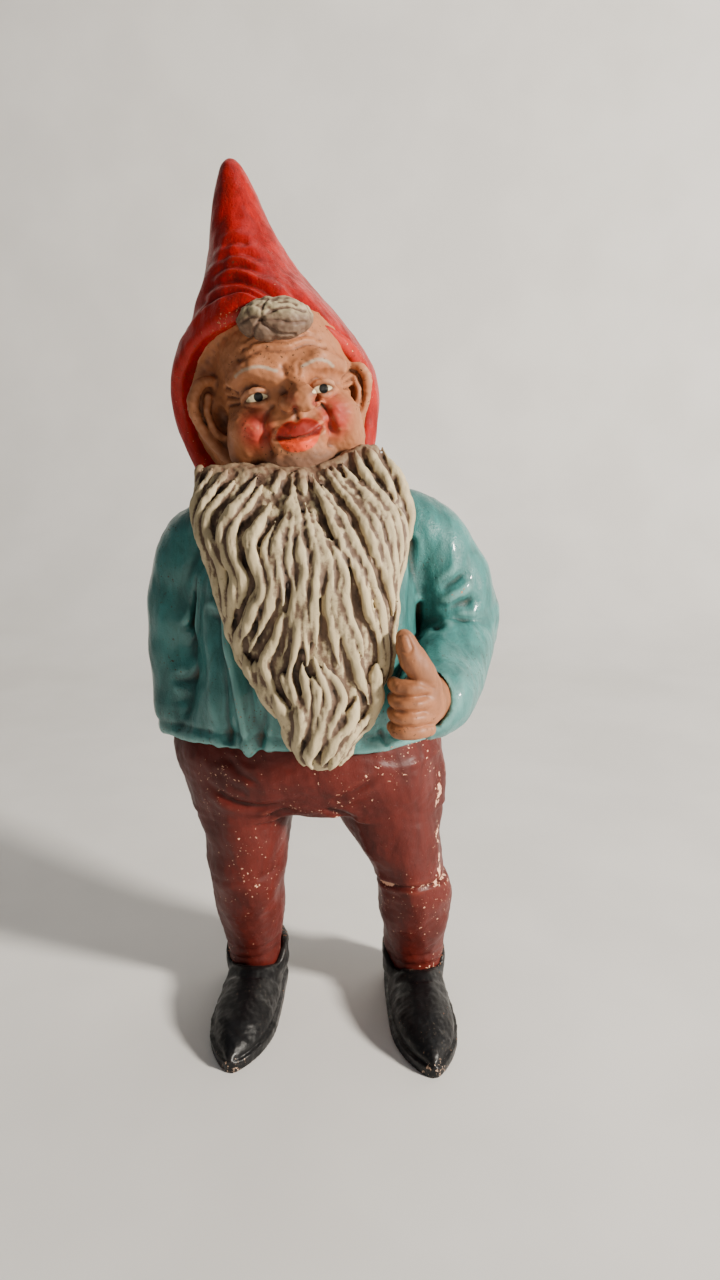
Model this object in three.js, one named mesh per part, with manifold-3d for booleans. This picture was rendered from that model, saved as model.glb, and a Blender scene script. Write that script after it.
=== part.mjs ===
// Garden gnome: a hollow terracotta figure, pressed in moulds piece by piece, luted together with
// slip, fired and painted in oil colours. It stands on its own two shoes.
// Millimetres, +Z up, the figure faces -Y, and its own right-hand side is at -X.
import * as THREE from "three";
import { mergeVertices } from "three/addons/utils/BufferGeometryUtils.js";
import Module from "manifold-3d";

const wasm = await Module();
wasm.setup();

// ---- Driving dimensions ----
const HEIGHT = 240; // sole to tip of the hood
const WALL = 4.5; // thickness of the pressed clay
const GAP = 0.3; // joint line between two luted pieces
const HEM_SIDE = 89; // jacket hem above the ground, at the hips
const HEM_RISE = 4.5; // how much higher the hem is over the belly
const SEAT = 71; // where the thighs leave the hips
const KNEE = 47; // luted joint between thigh and shin
const SHOE_LENGTH = 54;
const SHOE_SPLAY = 5; // degrees each toe turns outwards
const HEAD_CENTRE = [-10, -8, 184];
const HEAD_ROLL = -8; // degrees the head leans towards the right shoulder
const HEAD_YAW = 5; // degrees the face turns towards the left hand
const NECK_RADIUS = 9;
const VENT_RADIUS = 3; // firing vent under the seat
const RIGHT_FOOT = [-24.3, 7]; // middle of the ankle, on the ground
const LEFT_FOOT = [25.6, 5];

const FRONT = new THREE.Vector3(0, -1, 0);
const UP = new THREE.Vector3(0, 0, 1);
const FAR = 400; // longer than the figure, for bodies that only cut
const THINNEST = 0.2; // no loft gets slimmer than this, however much it is shrunk

// ---- Finishes ----
const finish = (color, roughness) => new THREE.MeshStandardMaterial({ color, roughness, metalness: 0 });
const RED = finish("#c4322a", 0.35);
const SKIN = finish("#cf9468", 0.5);
const HAIR = finish("#c9bfa0", 0.6);
const TEAL = finish("#5fa39d", 0.3);
const BROWN = finish("#85342b", 0.4);
const BLACK = finish("#1d1b1b", 0.35);
const CLAY = finish("#d39a76", 0.85);

// ---- Solids ----
function solid(geometry) {
  geometry.deleteAttribute("normal");
  geometry.deleteAttribute("uv");
  const merged = mergeVertices(geometry, 1e-4);
  return new wasm.Manifold(
    new wasm.Mesh({
      numProp: 3,
      vertProperties: new Float32Array(merged.getAttribute("position").array),
      triVerts: new Uint32Array(merged.index.array),
    }),
  );
}

const join = (...solids) => solids.reduce((whole, next) => whole.add(next));
// What is left of a body after the cuts, without the crumbs that a cut breaks off.
function cut(body, ...tools) {
  const rest = tools.reduce((left, tool) => left.subtract(tool), body);
  return rest.decompose().reduce((big, next) => (next.volume() > big.volume() ? next : big));
}

// A rounded body along a smooth route. Each station is [x, y, z, half width, half depth], and
// facing is the direction that the half depth lies along. Sections are square to the route, or
// to the direction given as spine.
function loft(stations, { facing = FRONT, spine = null, grow = 0, sides = 16, steps = 10 } = {}) {
  const route = new THREE.CatmullRomCurve3(stations.map(([x, y, z]) => new THREE.Vector3(x, y, z)));
  const sizes = new THREE.CatmullRomCurve3(
    stations.map(([, , , width, depth = width]) => new THREE.Vector3(width, depth, 0)),
    false,
    "catmullrom",
  );
  const geometry = new THREE.CylinderGeometry(1, 1, 1, sides, steps);
  const position = geometry.getAttribute("position");
  for (let i = 0; i < position.count; i++) {
    const along = THREE.MathUtils.clamp(position.getY(i) + 0.5, 0, 1);
    const tangent = spine ?? route.getTangent(along);
    const ahead = facing.clone().addScaledVector(tangent, -facing.dot(tangent)).normalize();
    const across = new THREE.Vector3().crossVectors(tangent, ahead);
    const size = sizes.getPoint(along);
    const end = along < 1e-6 ? -1 : Number(along > 1 - 1e-6);
    const point = route
      .getPoint(along)
      .addScaledVector(across, position.getX(i) * Math.max(size.x + grow, THINNEST))
      .addScaledVector(ahead, position.getZ(i) * Math.max(size.y + grow, THINNEST))
      .addScaledVector(tangent, end * grow);
    position.setXYZ(i, point.x, point.y, point.z);
  }
  return solid(geometry);
}

// A standing body: its sections are level.
const stack = (stations, options = {}) => loft(stations, { spine: UP, ...options });

function ball([x, y, z], [a, b, c], { grow = 0, round = 14, frame = null } = {}) {
  const geometry = new THREE.SphereGeometry(1, round, round / 2);
  geometry.rotateX(Math.PI / 2);
  geometry.scale(a + grow, b + grow, c + grow);
  geometry.translate(x, y, z);
  if (frame) geometry.applyMatrix4(frame);
  return solid(geometry);
}

function box([x0, y0, z0], [x1, y1, z1]) {
  const geometry = new THREE.BoxGeometry(x1 - x0, y1 - y0, z1 - z0);
  geometry.translate((x0 + x1) / 2, (y0 + y1) / 2, (z0 + z1) / 2);
  return solid(geometry);
}

// Everything above or below a level, for cutting at a luted joint.
const above = (z) => box([-FAR, -FAR, z], [FAR, FAR, FAR]);
const below = (z) => box([-FAR, -FAR, -FAR], [FAR, FAR, z]);
const ahead = (y) => box([-FAR, -FAR, -FAR], [FAR, y, FAR]);
const behind = (y) => box([-FAR, y, -FAR], [FAR, FAR, FAR]);

// ---- Legs ----
// Outlines run from inside the shoe up to the seat, the same loft for thigh and shin.
const RIGHT_LEG = [
  [-24.3, 7.5, 5, 7.6, 8.4],
  [-24.8, 6.5, 14, 8.2, 9],
  [-24.7, 4, 23, 9.2, 9.9],
  [-25, 0, 35, 10.6, 11.2],
  [-25.1, -2.5, 44, 11.2, 12],
  [-24.8, -3, 51, 11.5, 12.8],
  [-24.7, -2, 58, 12.6, 14.5],
  [-25.1, -0.5, 66, 14.2, 16.6],
  [-25.2, 0.5, 73, 15, 18],
];
const LEFT_LEG = [
  [25.6, 5.5, 5, 7.8, 8.4],
  [25.6, 4.5, 14, 8.7, 9],
  [25.3, 2, 22, 9.2, 9.9],
  [24.9, -1, 32, 10.5, 11.2],
  [24.8, -3, 41, 11.1, 12],
  [23, -3.5, 47.5, 10.2, 11.8],
  [19.8, -2.5, 57, 12.9, 14.5],
  [17.2, -0.5, 66, 15.4, 16.6],
  [16.2, 0.5, 73, 16.2, 18],
];
const shin = (outline, grow = 0) => cut(stack(outline, { grow }), above(KNEE - GAP / 2 + grow));
const thigh = (outline) => cut(stack(outline), below(KNEE + GAP / 2), above(SEAT - GAP / 2));

// ---- Shoes ----
// Stations run from heel to toe: distance ahead of the ankle, half width, height of the upper.
const SHOE_UPPER = [
  [-13, 2.6, 9],
  [-12, 5, 14.2],
  [-6, 8.2, 15.6],
  [4, 9, 14],
  [14, 9.4, 12.6],
  [24, 9.2, 11],
  [32, 7, 9],
  [38, 3.6, 6.4],
  [41, 0.8, 4],
];
const TREAD = 3.4; // height of the shoe's widest line above the ground

function shoe([x, y], outline, outward) {
  const scale = SHOE_LENGTH / (SHOE_UPPER.at(-1)[0] - SHOE_UPPER[0][0]);
  const turn = THREE.MathUtils.degToRad(outward * SHOE_SPLAY);
  const stations = SHOE_UPPER.map(([forward, half, top]) => [
    x + Math.sin(turn) * forward * scale,
    y - Math.cos(turn) * forward * scale,
    TREAD,
    half,
    top - TREAD,
  ]);
  const upper = loft(stations, { facing: UP, steps: 14 });
  return cut(upper, below(0), shin(outline, GAP));
}

// ---- Hips: a front and a back half around a hollow, with a floor and a firing vent ----
const HIPS = [
  [-4.4, 1, SEAT, 35.4, 18.4],
  [-4.8, 1, 73.5, 36.6, 21],
  [-5.6, 1, 78, 38, 23.6],
  [-6.3, 0.5, 83, 38.6, 24.7],
  [-6.8, 0.5, 88, 38.6, 24.6],
  [-6.7, 0.5, 93, 36.8, 23.6],
  [-6.6, 0.5, 99, 33, 22],
];
const HIPS_TOP = 96;
const SPLIT = 1; // how far behind the middle the moulds' parting plane lies

const hipsSolid = () => {
  const outer = cut(stack(HIPS), below(SEAT + GAP / 2), above(HIPS_TOP));
  const hollow = cut(stack(HIPS, { grow: -WALL }), below(SEAT + WALL));
  const vent = loft([
    [-4, 9, SEAT - 5, VENT_RADIUS],
    [-4, 9, SEAT + 12, VENT_RADIUS],
  ]);
  return cut(outer, hollow, vent);
};

// ---- Jacket body: shells in front and behind ----
const JACKET = [
  [-6.5, 0.5, HEM_SIDE - 4, 41.2, 27.2],
  [-6.5, 0.5, 90, 40.4, 27],
  [-6.4, -0.5, 97, 35.6, 27.6],
  [-6.2, -2.2, 108, 31, 29.4],
  [-6, -2.5, 122, 30, 29.4],
  [-5.8, -1.5, 136, 30, 27.4],
  [-5.6, 0, 147, 28, 23],
  [-6, 1, 154, 22, 17.5],
  [-6.6, 1.2, 159, 14, 13],
];

// The hem is a slanting plane: level at the sides, rising to the belly, dropping to the seat.
function hemCutter() {
  const reach = 60;
  const slope = HEM_RISE / 25;
  const lip = new THREE.Shape();
  lip.moveTo(-reach, HEM_SIDE + reach * slope);
  lip.lineTo(reach, HEM_SIDE - reach * slope);
  lip.lineTo(reach, 0);
  lip.lineTo(-reach, 0);
  const geometry = new THREE.ExtrudeGeometry(lip, { depth: 2 * reach, bevelEnabled: false });
  geometry.applyMatrix4(new THREE.Matrix4().makeBasis(FRONT.clone().negate(), UP, new THREE.Vector3(1, 0, 0)));
  geometry.translate(-reach, 0, 0);
  return solid(geometry);
}

const JACKET_STEPS = 13;
// The jacket's outside, larger by the joint line, for the pieces that lie against it.
const jacketOuter = () => stack(JACKET, { grow: GAP, steps: JACKET_STEPS });

const jacketSolid = () =>
  cut(
    stack(JACKET, { steps: JACKET_STEPS }),
    hemCutter(),
    stack(JACKET, { grow: -WALL, steps: 8 }),
    stack(HIPS, { grow: GAP }),
    neckSolid(GAP),
  );

// ---- Neck: the plug that keys the head into the body ----
const neckSolid = (grow = 0) =>
  loft(
    [
      [-7.5, -1, 148, NECK_RADIUS],
      [-8.6, -3.5, 160, NECK_RADIUS],
      [-9.6, -6, 172, NECK_RADIUS - 0.5],
    ],
    { grow, steps: 6 },
  );

// ---- Sleeves ----
const RIGHT_SLEEVE = [
  [-40.2, -1.5, 90, 7.6, 9.5],
  [-40.4, -1.5, 97, 8.7, 10.4],
  [-41, 0, 108, 9.5, 11],
  [-41.2, 1.5, 120, 9.6, 11],
  [-40.2, 2, 132, 9.8, 11],
  [-37, 1.5, 143, 9.2, 10.4],
  [-32, 1, 150, 7.2, 8.6],
  [-27, 1, 153.5, 3, 4],
];
const LEFT_UPPER_SLEEVE = [
  [38, 5, 111, 6.5, 7],
  [37.4, 4.6, 117.5, 11, 10.5],
  [35.4, 3.6, 126, 12.6, 11.4],
  [31.8, 2.4, 136, 11.6, 11.4],
  [27, 1.5, 145, 10.2, 10.8],
  [21.4, 1, 151.5, 7.4, 8.6],
  [15.6, 1, 155, 3, 4],
];
const LEFT_FOREARM = [
  [38.4, 12.5, 119.4, 3.4, 3.4],
  [38.2, 10, 119, 7.6, 7.4],
  [37, 3.5, 117.2, 10.4, 9.8],
  [33.8, -6.5, 113.4, 11, 10.8],
  [30.2, -17, 110, 10.4, 10.8],
  [27.8, -26, 108, 9.2, 10.6],
];
const rightSleeve = (grow = 0) => loft(RIGHT_SLEEVE, { grow });
const forearmSleeve = (grow = 0) => loft(LEFT_FOREARM, { facing: UP, grow });

// ---- Left hand: a closed fist, four fingers one above the other and the thumb up ----
const FIST = [22, -38, 111];
const FINGER_RADIUS = 2.6;
const FINGER_PITCH = 3.9;

function fistSolid(grow = 0) {
  const [x, y, z] = FIST;
  const parts = [
    ball([x + 1.2, y + 1, z], [5.2, 6.4, 8.8], { grow }),
    loft(
      [
        [x + 2.2, y - 1.4, z + 4, 3.8],
        [x - 0.2, y - 3, z + 10, 3.4],
        [x - 2, y - 3.6, z + 15.4, 2.8],
        [x - 3.2, y - 3.8, z + 20, 1.2],
      ],
      { grow, sides: 10, steps: 6 },
    ),
    loft(
      [
        [x + 5.4, y + 14, z - 2, 6.4, 6.8],
        [x + 2.2, y + 2, z - 0.4, 5.4, 6.6],
      ],
      { facing: UP, grow, sides: 16, steps: 2 },
    ),
  ];
  for (let finger = 0; finger < 4; finger++) {
    const level = z + 5.6 - finger * FINGER_PITCH;
    parts.push(ball([x - 1.6, y - 3.4, level], [4.8, 4.4, FINGER_RADIUS], { grow, round: 10 }));
  }
  return join(...parts);
}

// ---- Head, in its own leaning frame ----
const HEAD_FRAME = new THREE.Matrix4()
  .makeTranslation(...HEAD_CENTRE)
  .multiply(new THREE.Matrix4().makeRotationY(THREE.MathUtils.degToRad(HEAD_ROLL)))
  .multiply(new THREE.Matrix4().makeRotationZ(THREE.MathUtils.degToRad(HEAD_YAW)));
const SKULL = [17.6, 22.6, 25.5];
const inHead = (centre, radii, extra = {}) => ball(centre, radii, { frame: HEAD_FRAME, ...extra });

function headSolid(grow = 0) {
  const features = [
    inHead([0, 0, 0], SKULL, { grow, round: 20 }),
    inHead([0, -19.8, 5.6], [10.5, 4.2, 3.6], { grow, round: 12 }), // brow ridge
    inHead([0, -24.6, -1.2], [3.6, 5, 3.4], { grow, round: 10 }), // nose
    inHead([0, -20.4, -9.4], [6.4, 4.4, 4], { grow, round: 10 }), // mouth
    inHead([-8.4, -17.6, -5.4], [6.4, 5.2, 5.8], { grow, round: 10 }), // cheeks
    inHead([8.4, -17.6, -5.4], [6.4, 5.2, 5.8], { grow, round: 10 }),
  ];
  return join(...features);
}

const headShell = () =>
  cut(headSolid(), inHead([0, 0.5, 0], SKULL, { grow: -WALL, round: 14 }), neckSolid(GAP));

// A cupped ear, flat against the inside of the hood.
const EAR = { out: 17.6, back: -8, level: -3.4, half: [4.9, 2.9, 9.6], splay: 26 };

function earSolid(side, grow = 0) {
  const turn = new THREE.Matrix4().makeRotationZ(THREE.MathUtils.degToRad(-side * EAR.splay));
  const place = new THREE.Matrix4().makeTranslation(side * EAR.out, EAR.back, EAR.level);
  const frame = HEAD_FRAME.clone().multiply(place).multiply(turn);
  const shell = ball([0, 0, 0], EAR.half, { grow, frame });
  if (grow) return shell;
  const cup = ball([-side * 0.6, -3.2, 0.6], [2.6, 2.2, 6.4], { round: 12, frame });
  return cut(shell, cup, headSolid(GAP));
}

const forelockSolid = (grow = 0) => inHead([0, -19.6, 16.6], [8.6, 5.6, 5.2], { grow });

// ---- Hood: a pointed shell, open in front, reaching the collar behind ----
const HOOD = [
  [-9.5, 2, 153, 18.6, 16],
  [-11.2, 1, 160, 21.8, 19],
  [-12.4, 0, 170, 24.8, 22],
  [-13, -1.2, 178, 26.2, 23.8],
  [-13.1, -2.4, 184, 26.4, 25],
  [-13.2, -4, 190.5, 25, 25],
  [-13.8, -6, 197.5, 21.4, 23],
  [-15.2, -7, 203.5, 17.4, 20.6],
  [-17.4, -6.2, 211, 12.9, 14.6],
  [-19.6, -4.4, 218, 9.5, 10.4],
  [-21.4, -2.6, 225.5, 7.1, 7.3],
  [-22.6, -1.2, 232.5, 5, 5.1],
  [-23.4, -0.4, 238, 2.7, 2.8],
  [-23.6, 0, HEIGHT, 0.9, 0.9],
];
const HOOD_WALL = 4.2;
const HOOD_HOLLOW_TOP = 226;
// The rim in side view, from the peak over the forehead down past the ears: [y, z].
const RIM = [
  [-34, 207],
  [-27, 201],
  [-17, 193],
  [-11, 184],
  [-9, 174],
  [-10.5, 162],
  [-13, 150],
];

function hoodSolid() {
  const edge = new THREE.SplineCurve(RIM.map(([y, z]) => new THREE.Vector2(y, z))).getPoints(10);
  const outline = new THREE.Shape([...edge, new THREE.Vector2(-FAR, 150), new THREE.Vector2(-FAR, 207)]);
  const geometry = new THREE.ExtrudeGeometry(outline, { depth: 2 * FAR, bevelEnabled: false });
  geometry.applyMatrix4(new THREE.Matrix4().makeBasis(FRONT.clone().negate(), UP, new THREE.Vector3(1, 0, 0)));
  geometry.translate(-FAR, 0, 0);
  const window = solid(geometry);
  const inside = cut(stack(HOOD, { grow: -HOOD_WALL, steps: 14 }), above(HOOD_HOLLOW_TOP));
  return cut(
    stack(HOOD, { sides: 22, steps: 20 }),
    inside,
    window,
    headSolid(GAP),
    earSolid(1, GAP),
    earSolid(-1, GAP),
    forelockSolid(GAP),
    neckSolid(GAP),
    jacketOuter(),
    rightSleeve(GAP),
    loft(LEFT_UPPER_SLEEVE, { grow: GAP }),
  );
}

// ---- Beard: one broad mass of locks, tapering to a point over the belly ----
const BEARD = [
  [-0.8, -38, 93.2, 2.2, 2],
  [-0.9, -38, 96.4, 6.2, 5],
  [-0.8, -37.8, 101, 8.4, 6.6],
  [0, -37, 107, 11.6, 7.8],
  [-1.2, -36, 115, 16.2, 9],
  [-2.4, -35, 124, 19.6, 10],
  [-3.1, -34, 133, 21.4, 11],
  [-4.1, -32.4, 142, 23, 12.2],
  [-5, -30.8, 150, 25.6, 12.2],
  [-5.4, -28.8, 157, 26.9, 10.2],
  [-6.4, -27, 164, 25, 8.4],
  [-6.4, -26.4, 169, 20.4, 6.6],
];

const beardSolid = (grow = 0) => stack(BEARD, { grow, sides: 20, steps: 14 });

// ---- The pieces, each with its neighbours cut away by the width of the joint line ----
const hips = hipsSolid();
const jacket = cut(jacketSolid(), rightSleeve(GAP));
const fist = cut(fistSolid(), jacketOuter());
const forearm = cut(forearmSleeve(), fistSolid(GAP), jacketOuter());

const PIECES = [
  ["hood", hoodSolid(), RED],
  ["head", headShell(), SKIN],
  ["right_ear", earSolid(-1), SKIN],
  ["left_ear", earSolid(1), SKIN],
  ["forelock", cut(forelockSolid(), headSolid(GAP)), HAIR],
  ["beard", cut(beardSolid(), headSolid(GAP), neckSolid(GAP), jacketOuter(), fistSolid(GAP)), HAIR],
  ["neck", neckSolid(), CLAY],
  ["jacket_front", cut(jacket, behind(SPLIT - GAP / 2)), TEAL],
  ["jacket_back", cut(jacket, ahead(SPLIT + GAP / 2)), TEAL],
  ["right_sleeve", cut(rightSleeve(), stack(HIPS, { grow: GAP })), TEAL],
  ["left_upper_sleeve", cut(loft(LEFT_UPPER_SLEEVE), jacketOuter(), forearmSleeve(GAP)), TEAL],
  ["left_forearm_sleeve", forearm, TEAL],
  ["left_hand", fist, SKIN],
  ["hips_front", cut(hips, behind(SPLIT - GAP / 2)), BROWN],
  ["hips_back", cut(hips, ahead(SPLIT + GAP / 2)), BROWN],
  ["right_thigh", thigh(RIGHT_LEG), BROWN],
  ["left_thigh", thigh(LEFT_LEG), BROWN],
  ["right_shin", shin(RIGHT_LEG), BROWN],
  ["left_shin", shin(LEFT_LEG), BROWN],
  ["right_shoe", shoe(RIGHT_FOOT, RIGHT_LEG, -1), BLACK],
  ["left_shoe", shoe(LEFT_FOOT, LEFT_LEG, 1), BLACK],
];

function meshOf(name, body, material) {
  const { numProp, vertProperties, triVerts } = body.getMesh();
  const interleaved = new THREE.InterleavedBuffer(vertProperties, numProp);
  const geometry = new THREE.BufferGeometry();
  geometry.setAttribute("position", new THREE.InterleavedBufferAttribute(interleaved, 3, 0));
  geometry.setIndex(new THREE.BufferAttribute(triVerts, 1));
  geometry.computeVertexNormals();
  const mesh = new THREE.Mesh(geometry, material);
  mesh.name = name;
  return mesh;
}

const gnome = new THREE.Group();
gnome.name = "gnome";
gnome.add(...PIECES.map((piece) => meshOf(...piece)));

// The part's origin is on the ground, below the middle of the figure's box.
const middle = new THREE.Box3().setFromObject(gnome).getCenter(new THREE.Vector3());
gnome.position.set(-middle.x, -middle.y, 0);

export default gnome;
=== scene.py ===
"""Garden gnome in painted terracotta, standing on a pale studio sweep.

Every piece is modelled like clay: rounded lumps are blended on a grid of distances, meshed,
smoothed and then tooled with relief. Lengths in the modelling code are millimetres in the
figure's own frame (origin on the ground between the feet, face towards -Y, own right at -X).
"""

import math

import bpy
import numpy as np
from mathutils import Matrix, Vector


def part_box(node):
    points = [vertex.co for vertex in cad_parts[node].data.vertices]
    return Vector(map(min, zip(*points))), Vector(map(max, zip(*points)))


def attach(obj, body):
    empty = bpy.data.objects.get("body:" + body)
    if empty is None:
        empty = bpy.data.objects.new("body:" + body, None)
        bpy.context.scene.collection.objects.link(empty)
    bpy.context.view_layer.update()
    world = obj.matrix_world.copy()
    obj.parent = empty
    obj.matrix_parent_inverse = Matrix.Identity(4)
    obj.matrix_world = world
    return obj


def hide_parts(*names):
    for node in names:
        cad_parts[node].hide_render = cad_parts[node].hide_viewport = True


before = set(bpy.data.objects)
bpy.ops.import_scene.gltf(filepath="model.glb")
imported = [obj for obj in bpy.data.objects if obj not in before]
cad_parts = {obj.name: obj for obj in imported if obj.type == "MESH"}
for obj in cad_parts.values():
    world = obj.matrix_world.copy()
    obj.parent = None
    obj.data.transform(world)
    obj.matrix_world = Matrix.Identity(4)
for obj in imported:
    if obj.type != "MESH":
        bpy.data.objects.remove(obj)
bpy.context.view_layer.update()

import openvdb
from bpy.props import FloatProperty, FloatVectorProperty, IntProperty, PointerProperty
from mathutils import Euler, Matrix, Vector

bl_info = {
    "name": "Terracotta gnome",
    "version": (1, 0, 0),
    "blender": (4, 5, 0),
    "location": "View3D > Sidebar > Gnome",
    "description": "Models and paints a pressed terracotta garden gnome piece by piece",
    "category": "Object",
}

MM = 0.001
OUTSIDE = 9.0  # the grid's value well outside the clay, mm

# ---- Where the figure stands in the frame ----
STANCE = (0.65, -7.87)  # middle of the two shoes' box in the figure's frame, mm


def low(node):
    return np.array(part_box(node)[0]) / MM


def high(node):
    return np.array(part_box(node)[1]) / MM


def figure_origin():
    """The figure's origin in the row frame, from the place of the two shoes."""
    corner_low = np.minimum(low("right_shoe"), low("left_shoe"))
    corner_high = np.maximum(high("right_shoe"), high("left_shoe"))
    middle = (corner_low + corner_high) / 2
    return np.array([middle[0] - STANCE[0], middle[1] - STANCE[1], 0.0])


ORIGIN = figure_origin()
TIP = high("hood")[2]
KNEE = high("left_shin")[2]
HEAD_CENTRE = (-10.0, -8.0, 184.0)
HEAD_ROLL = math.radians(-8)  # the head leans towards the right shoulder
HEAD_YAW = math.radians(5)  # and turns towards the left hand
SHOE_SPLAY = math.radians(5)  # each toe turns outwards

# Grain of the pieces that have no setting of their own: the cell of their distance grid, mm
HOOD_CELL = 0.52
FORELOCK_CELL = 0.32
HAND_CELL = 0.3
SHOE_CELL = 0.42


# ---------------------------------------------------------------- modelling in clay
def spline(points, count):
    """Evenly indexed Catmull-Rom samples through rows of numbers, ends doubled."""
    rows = np.asarray(points, float)
    rows = np.vstack([2 * rows[0] - rows[1], rows, 2 * rows[-1] - rows[-2]])
    at = np.linspace(0, len(rows) - 3 - 1e-9, count)
    i = at.astype(int)
    t = (at - i)[:, None]
    a, b, c, d = rows[i], rows[i + 1], rows[i + 2], rows[i + 3]
    bend = (2 * a - 5 * b + 4 * c - d) * t**2
    twist = (3 * b - a - 3 * c + d) * t**3
    return 0.5 * (2 * b + (c - a) * t + bend + twist)


def smooth_min(a, b, blend):
    if blend <= 0:
        return np.minimum(a, b)
    h = np.maximum(blend - np.abs(a - b), 0) / blend
    return np.minimum(a, b) - h * h * blend / 4


def smooth_step(value, start, end):
    t = np.clip((value - start) / (end - start), 0, 1)
    return t * t * (3 - 2 * t)


def bump(distance, width):
    """A rounded ridge profile: 1 on the line, falling to 0 over about two widths."""
    return np.exp(-((distance / width) ** 2))


class Placing:
    """A leaning frame that shapes can be given in."""

    def __init__(self, origin, rotation):
        self.origin = np.array(origin, float)
        self.rotation = np.array(rotation.to_matrix() if isinstance(rotation, Euler) else rotation)

    def inside(self, x, y, z):
        """Figure coordinates to the placing's own."""
        x, y, z = x - self.origin[0], y - self.origin[1], z - self.origin[2]
        m = self.rotation
        return [m[0][i] * x + m[1][i] * y + m[2][i] * z for i in range(3)]

    def outside(self, points):
        return np.asarray(points, float) @ self.rotation.T + self.origin

    def box(self, lo, hi):
        corners = [[x, y, z] for x in (lo[0], hi[0]) for y in (lo[1], hi[1]) for z in (lo[2], hi[2])]
        placed = self.outside(corners)
        return placed.min(0), placed.max(0)


HEAD = Placing(HEAD_CENTRE, Matrix.Rotation(HEAD_ROLL, 3, "Y") @ Matrix.Rotation(HEAD_YAW, 3, "Z"))


class Ball:
    """An ellipsoid, turned by degrees about X, Y and Z."""

    def __init__(self, centre, radii, turn=(0, 0, 0), placing=None):
        self.radii = np.array(radii if np.ndim(radii) else [radii] * 3, float)
        own = Placing(centre, Euler([math.radians(t) for t in turn]))
        if placing:
            own = Placing(placing.outside([centre])[0], placing.rotation @ own.rotation)
        self.placing = own

    def box(self):
        return self.placing.box(-self.radii, self.radii)

    def distance(self, x, y, z):
        local = self.placing.inside(x, y, z)
        near = np.sqrt(sum((p / r) ** 2 for p, r in zip(local, self.radii)))
        steep = np.sqrt(sum((p / r**2) ** 2 for p, r in zip(local, self.radii)))
        return near * (near - 1) / np.maximum(steep, 1e-6)


class Rope:
    """A roll of clay along a line of points, each with its own radius."""

    def __init__(self, points, radii, placing=None):
        rows = np.asarray(points, float)
        widths = np.full(len(rows), float(radii)) if np.ndim(radii) == 0 else np.asarray(radii, float)
        if placing:
            rows = placing.outside(rows)
        rows = np.column_stack([rows, widths])
        if len(rows) > 2:
            rows = spline(rows, 4 * len(rows))
        self.points, self.radii = rows[:, :3], np.maximum(rows[:, 3], 0.05)

    def box(self):
        r = self.radii.max()
        return self.points.min(0) - r, self.points.max(0) + r

    def distance(self, x, y, z):
        best = None
        for a, b, ra, rb in zip(self.points[:-1], self.points[1:], self.radii[:-1], self.radii[1:]):
            run = b - a
            size = max(run @ run, 1e-9)
            dx, dy, dz = x - a[0], y - a[1], z - a[2]
            t = np.clip((dx * run[0] + dy * run[1] + dz * run[2]) / size, 0, 1)
            away = np.sqrt((dx - t * run[0]) ** 2 + (dy - t * run[1]) ** 2 + (dz - t * run[2]) ** 2)
            here = away - (ra + (rb - ra) * t)
            best = here if best is None else np.minimum(best, here)
        return best


class Stack:
    """A standing body with level oval sections: rows of [x, y, z, half width, half depth]."""

    def __init__(self, stations, grow=0.0):
        self.rows = spline(sorted(stations, key=lambda s: s[2]), 12 * len(stations))
        self.grow = grow

    def section(self, z):
        return [np.interp(z, self.rows[:, 2], self.rows[:, k]) for k in (0, 1, 3, 4)]

    def box(self):
        r = self.rows
        wide, deep = r[:, 3] + self.grow, r[:, 4] + self.grow
        return (
            np.array([(r[:, 0] - wide).min(), (r[:, 1] - deep).min(), r[0, 2] - self.grow]),
            np.array([(r[:, 0] + wide).max(), (r[:, 1] + deep).max(), r[-1, 2] + self.grow]),
        )

    def distance(self, x, y, z):
        cx, cy, wide, deep = self.section(z)
        wide, deep = np.maximum(wide + self.grow, 0.1), np.maximum(deep + self.grow, 0.1)
        near = np.sqrt(((x - cx) / wide) ** 2 + ((y - cy) / deep) ** 2)
        side = (near - 1) * np.minimum(wide, deep)
        return np.maximum(side, np.maximum(self.rows[0, 2] - self.grow - z, z - self.rows[-1, 2] - self.grow))


class Shape:
    """Any distance rule, over the whole block."""

    def __init__(self, rule):
        self.rule = rule

    def box(self):
        return np.full(3, -1e6), np.full(3, 1e6)

    def distance(self, x, y, z):
        return self.rule(x, y, z)


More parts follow.
